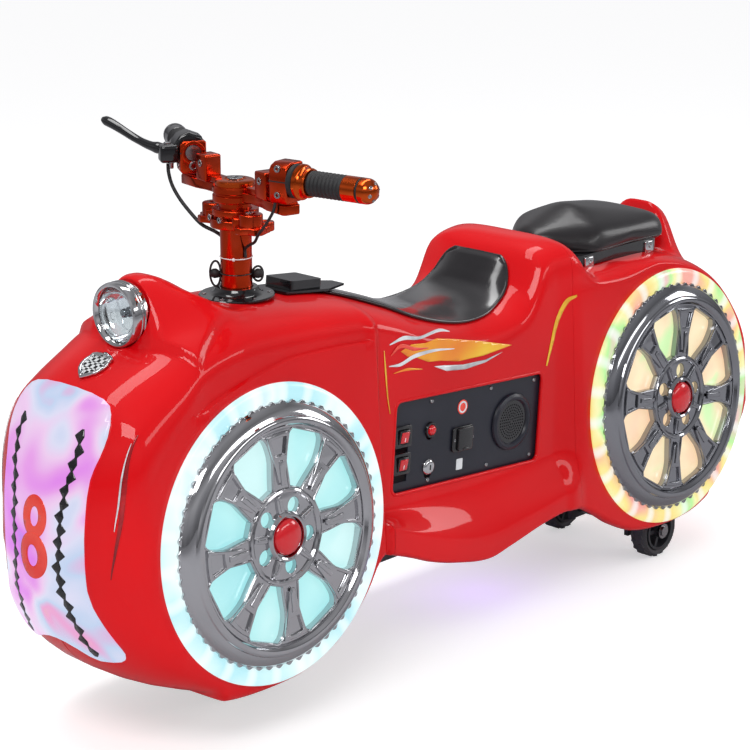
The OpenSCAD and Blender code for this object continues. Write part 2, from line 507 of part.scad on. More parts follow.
// Welded frame inside the shell
module chassis_frame() color("#4a4d52") difference() {
    union() {
        translate([column_x, 0, head_z0]) cylinder(r = 29, h = tank_top - shell_t - 3.5 - head_z0, $fn = 48);
        for (k = [-1, 1]) {
            translate([rear_axle_x - 26, k * rail_y - rail_s / 2, rail_z]) cube([front_x - 212 - rear_axle_x + 26, rail_s, rail_s]);
            translate([rear_axle_x - 22, k * rail_y - 4, rear_wheel_r - 16]) cube([44, 8, rail_z - rear_wheel_r + 17]);
            translate([cross_x - 10, k * rail_y - 10, rail_z + 10]) cube([20, 20, cross_z - rail_z]);
        }
        for (x = [front_x - 236, front_x - 330, front_x - 568, rear_axle_x - 26])
            translate([x, -rail_y - 2, rail_z]) cube([rail_s, 2 * rail_y + 4, rail_s]);
        translate([cross_x - 10, -waist_half_w + shell_t + seat_gap, cross_z])
            cube([20, 2 * (waist_half_w - shell_t - seat_gap), rail_s]);
        translate([front_x - 224, 0, rail_z + 12]) rotate([0, 34, 0]) translate([-18, -22, -6]) cube([36, 44, 246]);
        translate([front_x - 568, -rail_y, rail_z]) cube([238, 2 * rail_y, 6]);
    }
    translate([column_x, 0, head_z0 - 60]) cylinder(r = column_d / 2 + run_gap, h = 400, $fn = 48);
    translate([rear_axle_x, -100, rear_wheel_r]) rotate([-90, 0, 0]) cylinder(r = rear_axle_d / 2 + run_gap, h = 200, $fn = 32);
    translate([column_x, 0, 0]) cylinder(r = 78, h = head_z0, $fn = 48);
}
module battery_box() color("#2f3338") translate([front_x - 560, -74, tray_z + seat_gap]) cube([190, 148, 165]);
module floor_lamp() color("#35353a") translate([front_x - 570, 0, rail_z - seat_gap]) rotate([180, 0, 0]) rotate_extrude($fn = 48)
    polygon([[0, 0], [30, 0], [30, 26], [36, 32], [36, 38], [31, 38], [27, 33], [0, 33]]);

// Rear wheels on one fixed axle
rear_wheel_r = rear_d / 2;
module at_rear(side) translate([rear_axle_x, side * rear_track / 2, rear_wheel_r]) rotate([-90, 0, 0]) children();
collar_t = 4;
module rear_axle() color("#9a9da3") translate([rear_axle_x, 0, rear_wheel_r]) rotate([-90, 0, 0]) {
    translate([0, 0, -rear_track / 2 - rear_w / 2 - 8]) cylinder(d = rear_axle_d, h = rear_track + rear_w + 16, $fn = 32);
    for (k = [-1, 1], s = [-1, 1]) translate([0, 0, k * rear_track / 2 + s * (rear_w / 2 + 1 + collar_t / 2) - collar_t / 2])
        cylinder(d = 24, h = collar_t, $fn = 32);
}
rear_hub_r = rear_wheel_r - 13;
module rear_hub() color("#2c2c30") difference() {
    union() {
        translate([0, 0, -rear_w / 2]) cylinder(d = 24, h = rear_w, $fn = 32);
        difference() {
            translate([0, 0, 1 - rear_w / 2]) cylinder(r = rear_hub_r - run_gap, h = rear_w - 2, $fn = 64);
            translate([0, 0, -rear_w]) cylinder(r = rear_hub_r - 4, h = 2 * rear_w, $fn = 48);
        }
        for (i = [0 : 4]) rotate(i * 72) translate([9, -3, 4 - rear_w / 2]) cube([rear_hub_r - 11, 6, rear_w - 8]);
    }
    translate([0, 0, -rear_w]) cylinder(r = rear_axle_d / 2 + run_gap, h = 2 * rear_w, $fn = 32);
}
module rear_tyre() color("#3a3a3e") rotate_extrude($fn = 64) polygon([[rear_hub_r, 1 - rear_w / 2],
    [rear_wheel_r - 4, -rear_w / 2], [rear_wheel_r - 1, 2.5 - rear_w / 2], [rear_wheel_r, 6 - rear_w / 2],
    [rear_wheel_r, rear_w / 2 - 6], [rear_wheel_r - 1, rear_w / 2 - 2.5], [rear_wheel_r - 4, rear_w / 2],
    [rear_hub_r, rear_w / 2 - 1]]);
module rear_hub_left() at_rear(1) rear_hub();
module rear_tyre_left() at_rear(1) rear_tyre();
module rear_hub_right() at_rear(-1) rear_hub();
module rear_tyre_right() at_rear(-1) rear_tyre();

// Everything that turns with the handlebar, drawn straight ahead and then turned to the parked place
module steered() translate([column_x, 0, 0]) rotate([0, 0, parked_turn]) children();
drive_r = drive_d / 2;
fork_in = drive_w / 2 + air_gap + 2;
module steering_column() color("#c2311c") steered() difference() {
    translate([0, 0, crown_z + crown_h + seat_gap]) cylinder(d = column_d, h = column_top - crown_z - crown_h - seat_gap, $fn = 64);
    translate([0, 0, crown_z + crown_h - 1]) cylinder(d = column_d - 8, h = column_top, $fn = 64);
}
clamp_z = 660;
module lower_clamp() color("#b02a1a") steered() difference() {
    translate([0, 0, clamp_z]) linear_extrude(26) {
        circle(34, $fn = 48);
        for (k = [-1, 1]) {
            translate([4, k * 42]) circle(15, $fn = 32);
            translate([-10, k * 21 - 21]) square([24, 42]);
        }
    }
    translate([0, 0, clamp_z - 1]) cylinder(r = column_d / 2 + run_gap, h = 40, $fn = 64);
}
yoke_z = 694;
module upper_clamp() color("#b02a1a") steered() difference() {
    union() {
        translate([0, 0, yoke_z]) cylinder(r = 30, h = column_top + 12 - yoke_z, $fn = 48);
        for (k = [-1, 1]) translate([-18, k > 0 ? 20 : -128, yoke_z]) cube([24, 108, bar_z - block_low - seat_gap - yoke_z]);
    }
    translate([0, 0, yoke_z - 1]) cylinder(r = column_d / 2 + run_gap, h = column_top + 1 + seat_gap - yoke_z, $fn = 64);
}
block_y = 118;
block_x = -4;
block_w = 28;
block_low = 28;
block_d = 18;
module at_bar(side) steered() mirror([0, side < 0 ? 1 : 0, 0]) translate([block_x, block_y, bar_z])
    rotate([0, 0, bar_sweep]) rotate([-90, 0, 0]) children();
module bar_blocks() color("#b5301c") for (side = [-1, 1]) at_bar(side) difference() {
    translate([-block_d, -22, -block_w / 2]) cube([2 * block_d, 22 + block_low, block_w]);
    translate([0, 0, -block_w]) cylinder(d = 22.2, h = 2 * block_w, $fn = 32);
}
grip_z0 = block_w / 2 + 9;
grip_end = (grip_reach - block_y) / cos(bar_sweep);
module bar_tubes() color("#8c8f94") for (side = [-1, 1]) at_bar(side)
    translate([0, 0, -block_w / 2]) cylinder(d = 22, h = grip_end - 20 + block_w / 2, $fn = 32);
module grips() color("#18181a") for (side = [-1, 1]) at_bar(side) difference() {
    union() {
        translate([0, 0, grip_z0 + 18]) cylinder(d = grip_d, h = grip_end - 46 - grip_z0 - 18, $fn = 48);
        translate([0, 0, block_w / 2]) cylinder(d = 44, h = 8, $fn = 48);
    }
    cylinder(d = 22.2, h = 200, $fn = 32);
}
module grip_ends() color("#c8401e") for (side = [-1, 1]) at_bar(side) difference() {
    union() {
        translate([0, 0, grip_z0]) cylinder(d = 46, h = 7, $fn = 48);
        translate([0, 0, grip_z0 + 6]) cylinder(d = 38, h = 12, $fn = 48);
        translate([0, 0, grip_end - 46]) cylinder(d = grip_d, h = 32, $fn = 48);
        translate([0, 0, grip_end - 14]) rotate_extrude($fn = 48) intersection() {
            circle(grip_d / 2, $fn = 48);
            square([grip_d, 14]);
        }
    }
    translate([0, 0, -1]) cylinder(d = 22.2, h = grip_end - 19, $fn = 32);
}
// Brake lever on the rider's right
module lever_perch() color("#1c1c1f") at_bar(-1) translate([block_d + seat_gap, -12, -13]) cube([26, 26, 26]);
lever_path = [[38, -2, 19.4], [52, -6.4, 34], [69.5, -14.2, 57], [88.5, -21.7, 77.6], [104.2, -28.7, 95.6]];
module brake_lever() color("#141416") at_bar(-1) for (i = [0 : len(lever_path) - 2]) hull() {
    translate(lever_path[i]) sphere(6, $fn = 12);
    translate(lever_path[i + 1]) sphere(6, $fn = 12);
}
function unit(v) = v / norm(v);
function ring_at(p, d, r, n) = let(a = unit(cross(d, [0.2, 0.3, 1])), b = unit(cross(d, a)))
    [for (i = [0 : n - 1]) p + r * (cos(360 * i / n) * a + sin(360 * i / n) * b)];
// A plain tube along the points of a route
module tube(path, r, n) {
    m = len(path);
    rings = [for (i = [0 : m - 1]) ring_at(path[i], path[min(i + 1, m - 1)] - path[max(i - 1, 0)], r, n)];
    polyhedron([for (s = rings) each s], concat(
        [for (i = [0 : m - 2], j = [0 : n - 1]) let(a = i * n + j, b = i * n + (j + 1) % n) each [[a, a + n, b + n], [a, b + n, b]]],
        [[for (j = [0 : n - 1]) j], [for (j = [n - 1 : -1 : 0]) (m - 1) * n + j]]));
}
brake_route = [[22.4, -136.1, 724.2], [24, -132, 712], [27, -118, 698], [28, -98, 684], [26, -76, 670], [20, -54, 655],
    [8, -36, 646], [2, -24, 637], [2, -23.9, 625]];
wire_route = [[11, 116, 712.6], [14, 114, 700], [16, 100, 682], [14, 80, 666], [8, 60, 651], [2, 40, 643], [0, 23.4, 634], [0, 23.4, 622]];
module brake_cable() color("#111113") steered() tube(brake_route, 2.5, 8);
module lamp_wire() color("#111113") steered() tube(wire_route, 2, 8);
module column_loop() color("#111113") steered() translate([0, 0, 592]) difference() {
    union() {
        cylinder(r = column_d / 2 + 2, h = 12, $fn = 48);
        for (a = [35, 215]) rotate(a) translate([column_d / 2 + 4, 0, 6]) sphere(7, $fn = 24);
    }
    translate([0, 0, -5]) cylinder(r = column_d / 2 + run_gap, h = 30, $fn = 64);
}

// Driven wheel in its fork, inside the front pod
module fork() color("#55585d") steered() {
    difference() {
        translate([-30, -fork_in - 8, crown_z]) cube([60, 2 * fork_in + 16, crown_h]);
        translate([0, 0, crown_z - 1]) cylinder(d = 14, h = 40, $fn = 32);
    }
    for (k = [-1, 1]) translate([-17, k > 0 ? fork_in : -fork_in - 8, drive_r - 17]) cube([34, 8, crown_z - drive_r + 17]);
    translate([0, -fork_in - 16, drive_r]) rotate([-90, 0, 0]) cylinder(d = drive_axle_d, h = 2 * fork_in + 32, $fn = 32);
}
module at_drive() steered() translate([0, 0, drive_r]) rotate([-90, 0, 0]) children();
hub_drum_r = drive_r - 38;
module front_hub() color("#3b3e43") at_drive() difference() {
    union() {
        translate([0, 0, -22]) cylinder(r = hub_drum_r - run_gap, h = 44, $fn = 96);
        translate([0, 0, -fork_in + 1.5]) cylinder(r = 15, h = 2 * fork_in - 3, $fn = 48);
    }
    translate([0, 0, -60]) cylinder(r = drive_axle_d / 2 + run_gap, h = 120, $fn = 32);
}
module front_tyre() color("#1e1e20") at_drive() rotate_extrude($fn = 96) polygon([[hub_drum_r, -22],
    [hub_drum_r + 8, -26], [drive_r - 12, -26], [drive_r - 3, -20], [drive_r, -10], [drive_r, 10],
    [drive_r - 3, 20], [drive_r - 12, 26], [hub_drum_r + 8, 26], [hub_drum_r, 22]]);

front_shell();
middle_shell();
rear_shell();
nose_light_panel();
headlamp_housing();
headlamp_lens();
nose_shield();
light_disc_front_left();
light_disc_front_right();
light_disc_rear_left();
light_disc_rear_right();
side_cover_front_left();
side_cover_front_right();
side_cover_rear_left();
side_cover_rear_right();
cap_front_left();
cap_front_right();
cap_rear_left();
cap_rear_right();
saddle_panel();
rear_seat();
seat_struts();
control_panel();
rocker_switches();
push_button();
key_switch();
charge_socket();
loudspeaker();
service_panel();
column_flange();
display_base();
display_box();
chassis_frame();
battery_box();
rear_axle();
floor_lamp();
steering_column();
lower_clamp();
upper_clamp();
bar_blocks();
bar_tubes();
grips();
grip_ends();
lever_perch();
brake_lever();
brake_cable();
lamp_wire();
column_loop();
fork();
front_hub();
front_tyre();
rear_hub_left();
rear_tyre_left();
rear_hub_right();
rear_tyre_right();
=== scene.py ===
"""Looks of the battery ride-on shaped like a motorcycle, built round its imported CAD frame."""

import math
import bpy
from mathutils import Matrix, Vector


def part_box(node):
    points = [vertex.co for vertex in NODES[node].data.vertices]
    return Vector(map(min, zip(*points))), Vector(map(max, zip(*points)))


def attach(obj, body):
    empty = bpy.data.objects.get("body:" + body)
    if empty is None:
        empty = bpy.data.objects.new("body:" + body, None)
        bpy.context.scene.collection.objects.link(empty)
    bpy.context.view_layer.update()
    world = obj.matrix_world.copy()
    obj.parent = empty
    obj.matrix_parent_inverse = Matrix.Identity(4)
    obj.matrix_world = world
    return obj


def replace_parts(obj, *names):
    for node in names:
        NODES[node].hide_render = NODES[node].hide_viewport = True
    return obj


bl_info = {
    "name": "Bumper Ride Looks",
    "version": (1, 0, 0),
    "blender": (4, 5, 0),
    "location": "3D View > Sidebar > Bumper Ride",
    "description": "Builds the surfaces, trim, lamps and studio of a fairground bumper ride",
    "category": "Object",
}

import bmesh
import bpy
import numpy as np
from bpy.props import FloatProperty, IntProperty, PointerProperty, StringProperty
from bpy.types import Operator, Panel, PropertyGroup
from mathutils import Matrix, Vector

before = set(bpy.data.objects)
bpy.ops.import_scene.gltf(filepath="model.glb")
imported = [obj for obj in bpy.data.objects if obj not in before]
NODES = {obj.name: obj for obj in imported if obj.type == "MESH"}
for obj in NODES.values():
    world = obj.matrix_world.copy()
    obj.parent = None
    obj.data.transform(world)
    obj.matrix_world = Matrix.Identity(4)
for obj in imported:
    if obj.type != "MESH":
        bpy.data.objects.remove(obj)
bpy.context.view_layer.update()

# Sizes shared with the CAD source, in metres
DISC_LOW, DISC_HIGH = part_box("light_disc_front_left")
REAR_LOW, REAR_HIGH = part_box("light_disc_rear_left")
FRONT_X = (DISC_LOW[0] + DISC_HIGH[0]) / 2
REAR_X = (REAR_LOW[0] + REAR_HIGH[0]) / 2
COVER_Z = 0.285
POD_HALF_W = 0.142
COVER_LEAN = math.radians(4.3)
COLUMN_X = FRONT_X - 0.072
COLUMN_STATION = -72
PARKED_TURN = math.radians(-12)
BAR_Z = 0.741
MM = 0.001
PITCH = round((FRONT_X - REAR_X) * 1000)
TAIL = -PITCH
TAIL_REACH = 226.0

# Body form, the same curves as the CAD source: millimetres from the front covers' middle and height
BODY = {
    "top": [(-1082, 0), (-1070, 66), (-1042, 120), (-976, 184), (-896, 216), (-796, 224), (-746, 224),
        (-715, 225), (-690, 227), (-668, 240), (-655, 262), (-640, 277), (-612, 281), (-580, 274),
        (-562, 256), (-545, 226), (-510, 205), (-450, 198), (-390, 206), (-330, 224), (-278, 243),
        (-200, 265), (-140, 274), (-72, 281), (20, 284), (100, 272), (144, 253), (190, 232), (222, 210),
        (250, 165), (270, 100), (282, 20)],
    "bottom": [(-1082, -40), (-1066, -104), (-1016, -160), (-936, -198), (-856, -207), (-766, -198),
        (-706, -172), (-666, -146), (-636, -130), (-600, -125), (-546, -130), (-471, -144), (-421, -151),
        (-349, -137), (-300, -122), (-262, -106), (-230, -94), (-208, -88), (-190, -100), (-170, -127),
        (-150, -148), (-130, -165), (-100, -185), (-60, -200), (-20, -207), (60, -207), (120, -198),
        (180, -176), (225, -142), (250, -106), (268, -66), (282, -22)],
    "shoulder": [(-1082, -20), (-1046, 80), (-976, 160), (-856, 207), (-760, 198), (-700, 200),
        (-650, 206), (-612, 202), (-590, 198), (-560, 180), (-530, 158), (-450, 148), (-390, 156),
        (-330, 172), (-260, 205), (-200, 222), (0, 228), (90, 212), (160, 160), (220, 90), (282, -10)],
    "round": [(-1082, 30), (-1056, 60), (-1006, 40), (-946, 16), (-700, 12), (-560, 8), (-280, 8),
        (-209, 12), (90, 20), (150, 50), (210, 84), (250, 96), (272, 84), (282, 30)],
    "crease": [(-660, -98), (-615, -96), (-568, -103), (-488, -115), (-432, -123), (-377, -114),
        (-271, -73), (-212, -46)],
}
NOSE, WAIST_W, RING = 282.0, 120.0, 203.0
SHELF_TOP = -34.0


# Sizes and colours that a user would change

class RideSizes(PropertyGroup):
    peel_mm: FloatProperty(name="Orange peel",
        description="Width of the ripples in the polished gelcoat, in millimetres", default=11.0, min=1.0,
        max=40.0)
    stations: IntProperty(name="Body sections", description="Cross-sections drawn along the body",
        default=300, min=60, max=400)
    grip_ribs: IntProperty(name="Grip ribs", description="Number of ribs along a rubber grip", default=9,
        min=4, max=30)
    waves: IntProperty(name="Cover waves", description="Waves around the back edge of a side cover",
        default=60, min=20, max=90)


class RideColours(PropertyGroup):
    gelcoat: StringProperty(name="Gelcoat", description="Colour of the moulded body, sRGB hex",
        default="#e0030e")
    anodised: StringProperty(name="Anodised parts", description="Colour of the handlebar parts, sRGB hex",
        default="#d2401c")
    vinyl: StringProperty(name="Vinyl", description="Colour of the saddle and seat, sRGB hex",
        default="#141114")
    panel: StringProperty(name="Switch panel", description="Colour of the black panels, sRGB hex",
        default="#1b1d28")


class StudioSettings(PropertyGroup):
    lens_mm: FloatProperty(name="Lens", description="Focal length of the camera", default=110.56, min=20,
        max=300)
    key_watts: FloatProperty(name="Key light", description="Power of the large light over the nose",
        default=30.0, min=0, max=1000, unit="POWER")
    floor_grey: FloatProperty(name="Floor", description="Reflectance of the studio floor", default=0.82,
        min=0.1, max=1.0)


# Small helpers

def colour(hex_text):
    """sRGB hex to a linear colour with full alpha."""
    h = hex_text.lstrip("#")
    out = []
    for i in (0, 2, 4):
        c = int(h[i:i + 2], 16) / 255
        out.append(c / 12.92 if c <= 0.04045 else ((c + 0.055) / 1.055) ** 2.4)
    return (*out, 1.0)


def node(tree, kind, inputs=None, **settings):
    """Adds a node; inputs maps a socket's name or number to a value or to another socket."""
    n = tree.nodes.new(kind)
    for key, value in settings.items():
        setattr(n, key, value)
    for key, value in (inputs or {}).items():
        socket = n.inputs[key]
        if isinstance(value, bpy.types.NodeSocket):
            tree.links.new(value, socket)
        else:
            socket.default_value = value
    return n


def new_material(name):
    m = bpy.data.materials.new(name)
    m.use_nodes = True
    m.node_tree.nodes.clear()
    return m, m.node_tree


def close_material(m, tree, shader):
    node(tree, "ShaderNodeOutputMaterial", {"Surface": shader.outputs[0]})
    return m


def ramp(tree, factor, stops):
    """A colour ramp with the given (place, colour) stops."""
    n = node(tree, "ShaderNodeValToRGB", {"Fac": factor})
    e = n.color_ramp.elements
    while len(e) < len(stops):
        e.new(0.5)
    for item, (place, c) in zip(e, stops):
        item.position = place
        item.color = c
    return n


def spot_scale(size_mm):
    """Noise scale that gives spots of about this width in object space."""
    return 500.0 / size_mm


def noise(tree, size_mm, detail=3.0, roughness=0.5, distort=0.0):
    """Noise in object space whose spots are about size_mm wide."""
    where = node(tree, "ShaderNodeTexCoord")
    return node(tree, "ShaderNodeTexNoise", {"Vector": where.outputs["Object"], "Scale": spot_scale(size_mm),
                "Detail": detail, "Roughness": roughness, "Distortion": distort})


def bumped(tree, height, strength, distance_mm):
    return node(tree, "ShaderNodeBump",
        {"Height": height, "Strength": strength, "Distance": distance_mm / 1000})


def shade(c, k, add=0.0):
    return tuple(min(1.0, v * k + add) for v in c[:3]) + (1,)


# Materials

def gelcoat(name, hex_text, peel_mm):
    """Polyester gelcoat sprayed into a polished mould: deep colour under a clear gloss with slow ripples."""
    m, t = new_material(name)
    base = colour(hex_text)
    spots = noise(t, 150, 2.0)
    tone = ramp(t, spots.outputs["Fac"], [(0.3, shade(base, 0.8)), (0.7, base)])
    peel = noise(t, peel_mm, 1.0)
    bump = bumped(t, peel.outputs["Fac"], 0.03, 1.0)
    b = node(t, "ShaderNodeBsdfPrincipled", {"Base Color": tone.outputs[0], "Roughness": 0.5, "IOR": 1.5,
             "Specular IOR Level": 0.08, "Coat Weight": 0.6, "Coat Roughness": 0.035, "Coat IOR": 1.45,
             "Normal": bump.outputs[0], "Coat Normal": bump.outputs[0]})
    return close_material(m, t, b)


def plated(name, hex_text, roughness=0.07, wave_mm=24, wave=0.12):
    """Chrome plated on moulded ABS: a mirror with the slight waviness of the moulding below."""
    m, t = new_material(name)
    wavy = noise(t, wave_mm, 2.0)
    haze = noise(t, 9, 3.0)
    rough = node(t, "ShaderNodeMapRange", {"Value": haze.outputs["Fac"], "To Min": roughness * 0.6,
            "To Max": roughness * 1.5})
    tint = noise(t, 50, 2.0)
    tone = ramp(t, tint.outputs["Fac"], [(0.35, shade(colour(hex_text), 0.9)), (0.7, colour(hex_text))])
    bump = bumped(t, wavy.outputs["Fac"], wave, 1.0)
    b = node(t, "ShaderNodeBsdfPrincipled", {"Base Color": tone.outputs[0], "Metallic": 1.0,
             "Roughness": rough.outputs[0], "Normal": bump.outputs[0]})
    return close_material(m, t, b)


def anodised(name, hex_text, roughness=0.2):
    """Aluminium blasted and anodised in a translucent dye: satin metal, fine grain and a tone that varies in
    clouds.
    """
    m, t = new_material(name)
    grain = noise(t, 1.6, 2.0)
    cloud = noise(t, 22, 2.0)
    base = colour(hex_text)
    tone = ramp(t, cloud.outputs["Fac"],
        [(0.3, shade(base, 0.75)), (0.55, base), (0.8, shade(base, 1.3, 0.02))])
    bump = bumped(t, grain.outputs["Fac"], 0.05, 0.3)
    b = node(t, "ShaderNodeBsdfPrincipled",
        {"Base Color": tone.outputs[0], "Metallic": 1.0, "Roughness": roughness,
            "Normal": bump.outputs[0]})
    return close_material(m, t, b)


def moulded(name, hex_text, roughness=0.45, grain_mm=1.6, depth=0.10, coat=0.0):
    """ABS moulded against a spark-eroded tool: a fine even grain that breaks up the highlight."""
    m, t = new_material(name)
    grain = noise(t, grain_mm, 3.0)
    cloud = noise(t, 60, 2.0)
    base = colour(hex_text)
    tone = ramp(t, cloud.outputs["Fac"], [(0.3, base), (0.75, shade(base, 1.3, 0.004))])
    rough = node(t, "ShaderNodeMapRange", {"Value": cloud.outputs["Fac"], "To Min": roughness * 0.9,
            "To Max": roughness * 1.15})
    bump = bumped(t, grain.outputs["Fac"], depth, 0.4)
    b = node(t, "ShaderNodeBsdfPrincipled", {"Base Color": tone.outputs[0], "Roughness": rough.outputs[0],
            "IOR": 1.5, "Coat Weight": coat, "Coat Roughness": 0.06, "Normal": bump.outputs[0]})
    return close_material(m, t, b)


def vinyl(name, hex_text, roughness=0.3, grain_mm=2.2, depth=0.25, coat=0.35):
    """PVC leathercloth with an embossed pebble grain and a wiped-on shine."""
    m, t = new_material(name)
    where = node(t, "ShaderNodeTexCoord")
    pebble = node(t, "ShaderNodeTexVoronoi",
        {"Vector": where.outputs["Object"], "Scale": 1000.0 / grain_mm}, feature="SMOOTH_F1")
    cloud = noise(t, 45, 3.0)
    base = colour(hex_text)
    tone = ramp(t, cloud.outputs["Fac"], [(0.35, base), (0.75, shade(base, 1.5, 0.004))])
    rough = node(t, "ShaderNodeMapRange", {"Value": cloud.outputs["Fac"], "To Min": roughness * 0.85,
            "To Max": roughness * 1.3})
    bump = bumped(t, pebble.outputs["Distance"], depth, 0.25)
    b = node(t, "ShaderNodeBsdfPrincipled", {"Base Color": tone.outputs[0], "Roughness": rough.outputs[0],
            "IOR": 1.5, "Coat Weight": coat, "Coat Roughness": 0.12, "Sheen Weight": 0.05,
            "Normal": bump.outputs[0]})
    return close_material(m, t, b)


def lit_acrylic(name, stops, spot_mm, glow, base_hex, seed=0.0):
    """Opal acrylic with colour-changing diodes behind it: soft clouds of tinted light."""
    m, t = new_material(name)
    where = node(t, "ShaderNodeTexCoord")
    moved = node(t, "ShaderNodeMapping",
        {"Vector": where.outputs["Object"], "Location": (seed, seed * 0.7, seed * 1.3)})
    cloud = node(t, "ShaderNodeTexNoise", {"Vector": moved.outputs[0], "Scale": spot_scale(spot_mm),
            "Detail": 2.0, "Roughness": 0.5, "Distortion": 0.5})
    tone = ramp(t, cloud.outputs["Fac"], [(p, colour(h)) for p, h in stops])
    b = node(t, "ShaderNodeBsdfPrincipled",
        {"Base Color": colour(base_hex), "Roughness": 0.2, "IOR": 1.49, "Emission Color": tone.outputs[0],
            "Emission Strength": glow, "Coat Weight": 0.3, "Coat Roughness": 0.05})
    return close_material(m, t, b)


def lit_dots(name, stops, count, glow, base_hex):
    """Opal acrylic ring over a strip of diodes: a bright spot in front of each diode, fading sideways."""
    m, t = new_material(name)
    where = node(t, "ShaderNodeTexCoord")
    xyz = node(t, "ShaderNodeSeparateXYZ", {"Vector": where.outputs["Object"]})
    turn = node(t, "ShaderNodeMath", {0: xyz.outputs[1], 1: xyz.outputs[0]}, operation="ARCTAN2")
    wave = node(t, "ShaderNodeMath", {0: turn.outputs[0], 1: float(count)}, operation="MULTIPLY")
    spot = node(t, "ShaderNodeMath", {0: wave.outputs[0]}, operation="COSINE")
    cloud = node(t, "ShaderNodeTexNoise", {"Vector": where.outputs["Object"], "Scale": spot_scale(46),
            "Detail": 1.0, "Distortion": 0.4})
    tone = ramp(t, cloud.outputs["Fac"], [(p, colour(h)) for p, h in stops])
    fade = node(t, "ShaderNodeMapRange", {"Value": spot.outputs[0], "From Min": 0.1, "From Max": 1.0,
            "To Min": 0.0, "To Max": 0.65})
    hot = node(t, "ShaderNodeMix", {0: fade.outputs[0], 6: tone.outputs[0], 7: (0.93, 0.99, 1.0, 1)},
        data_type="RGBA")
    b = node(t, "ShaderNodeBsdfPrincipled",
        {"Base Color": colour(base_hex), "Roughness": 0.2, "IOR": 1.49, "Emission Color": hot.outputs[2],
            "Emission Strength": glow, "Coat Weight": 0.3, "Coat Roughness": 0.05})
    return close_material(m, t, b)


def clear_glass(name, tint="#f4fafc"):
    """Pressed lamp glass, clear with a faint cool tint."""
    m, t = new_material(name)
    flute = noise(t, 8, 1.0)
    bump = bumped(t, flute.outputs["Fac"], 0.1, 0.5)
    b = node(t, "ShaderNodeBsdfPrincipled", {"Base Color": colour(tint), "Roughness": 0.02, "IOR": 1.5,
             "Transmission Weight": 1.0, "Normal": bump.outputs[0]})
    return close_material(m, t, b)


def rubber(name, hex_text, roughness=0.62):
    """Moulded natural rubber: dark, dull and slightly dusty in patches."""
    m, t = new_material(name)
    dust = noise(t, 18, 5.0)
    grain = noise(t, 1.4, 2.0)
    base = colour(hex_text)
    tone = ramp(t, dust.outputs["Fac"], [(0.45, base), (0.8, shade(base, 1.0, 0.016))])
    bump = bumped(t, grain.outputs["Fac"], 0.12, 0.3)
    b = node(t, "ShaderNodeBsdfPrincipled", {"Base Color": tone.outputs[0], "Roughness": roughness,
            "IOR": 1.52, "Normal": bump.outputs[0]})
    return close_material(m, t, b)


def printed_film(name, stops, roughness=0.18, scale_mm=40, stretch=(1, 1, 1)):
    """Ink printed on clear self-adhesive film: glossy flat colour that shades across the piece. Two of these
    films also make the painted shade and the painted highlight beside the nose.
    """
    m, t = new_material(name)
    where = node(t, "ShaderNodeTexCoord")
    fit = node(t, "ShaderNodeMapping", {"Vector": where.outputs["Object"], "Scale": stretch})
    cloud = node(t, "ShaderNodeTexNoise", {"Vector": fit.outputs[0], "Scale": spot_scale(scale_mm),
            "Detail": 2.0})
    tone = ramp(t, cloud.outputs["Fac"], [(p, colour(h)) for p, h in stops])
    b = node(t, "ShaderNodeBsdfPrincipled", {"Base Color": tone.outputs[0], "Roughness": roughness,
            "IOR": 1.5, "Coat Weight": 0.4, "Coat Roughness": 0.05})
    return close_material(m, t, b)


def checker_enamel(name):
    """Stove enamel in black and white squares, 5 mm wide, under clear resin."""
    m, t = new_material(name)
    where = node(t, "ShaderNodeTexCoord")
    squares = node(t, "ShaderNodeTexChecker", {"Vector": where.outputs["Object"], "Color1": colour("#101012"),
                   "Color2": colour("#dfe2e4"), "Scale": 190.0})
    b = node(t, "ShaderNodeBsdfPrincipled", {"Base Color": squares.outputs[0], "Roughness": 0.15, "IOR": 1.5,
             "Coat Weight": 0.8, "Coat Roughness": 0.04})
    return close_material(m, t, b)


MATERIALS = {}


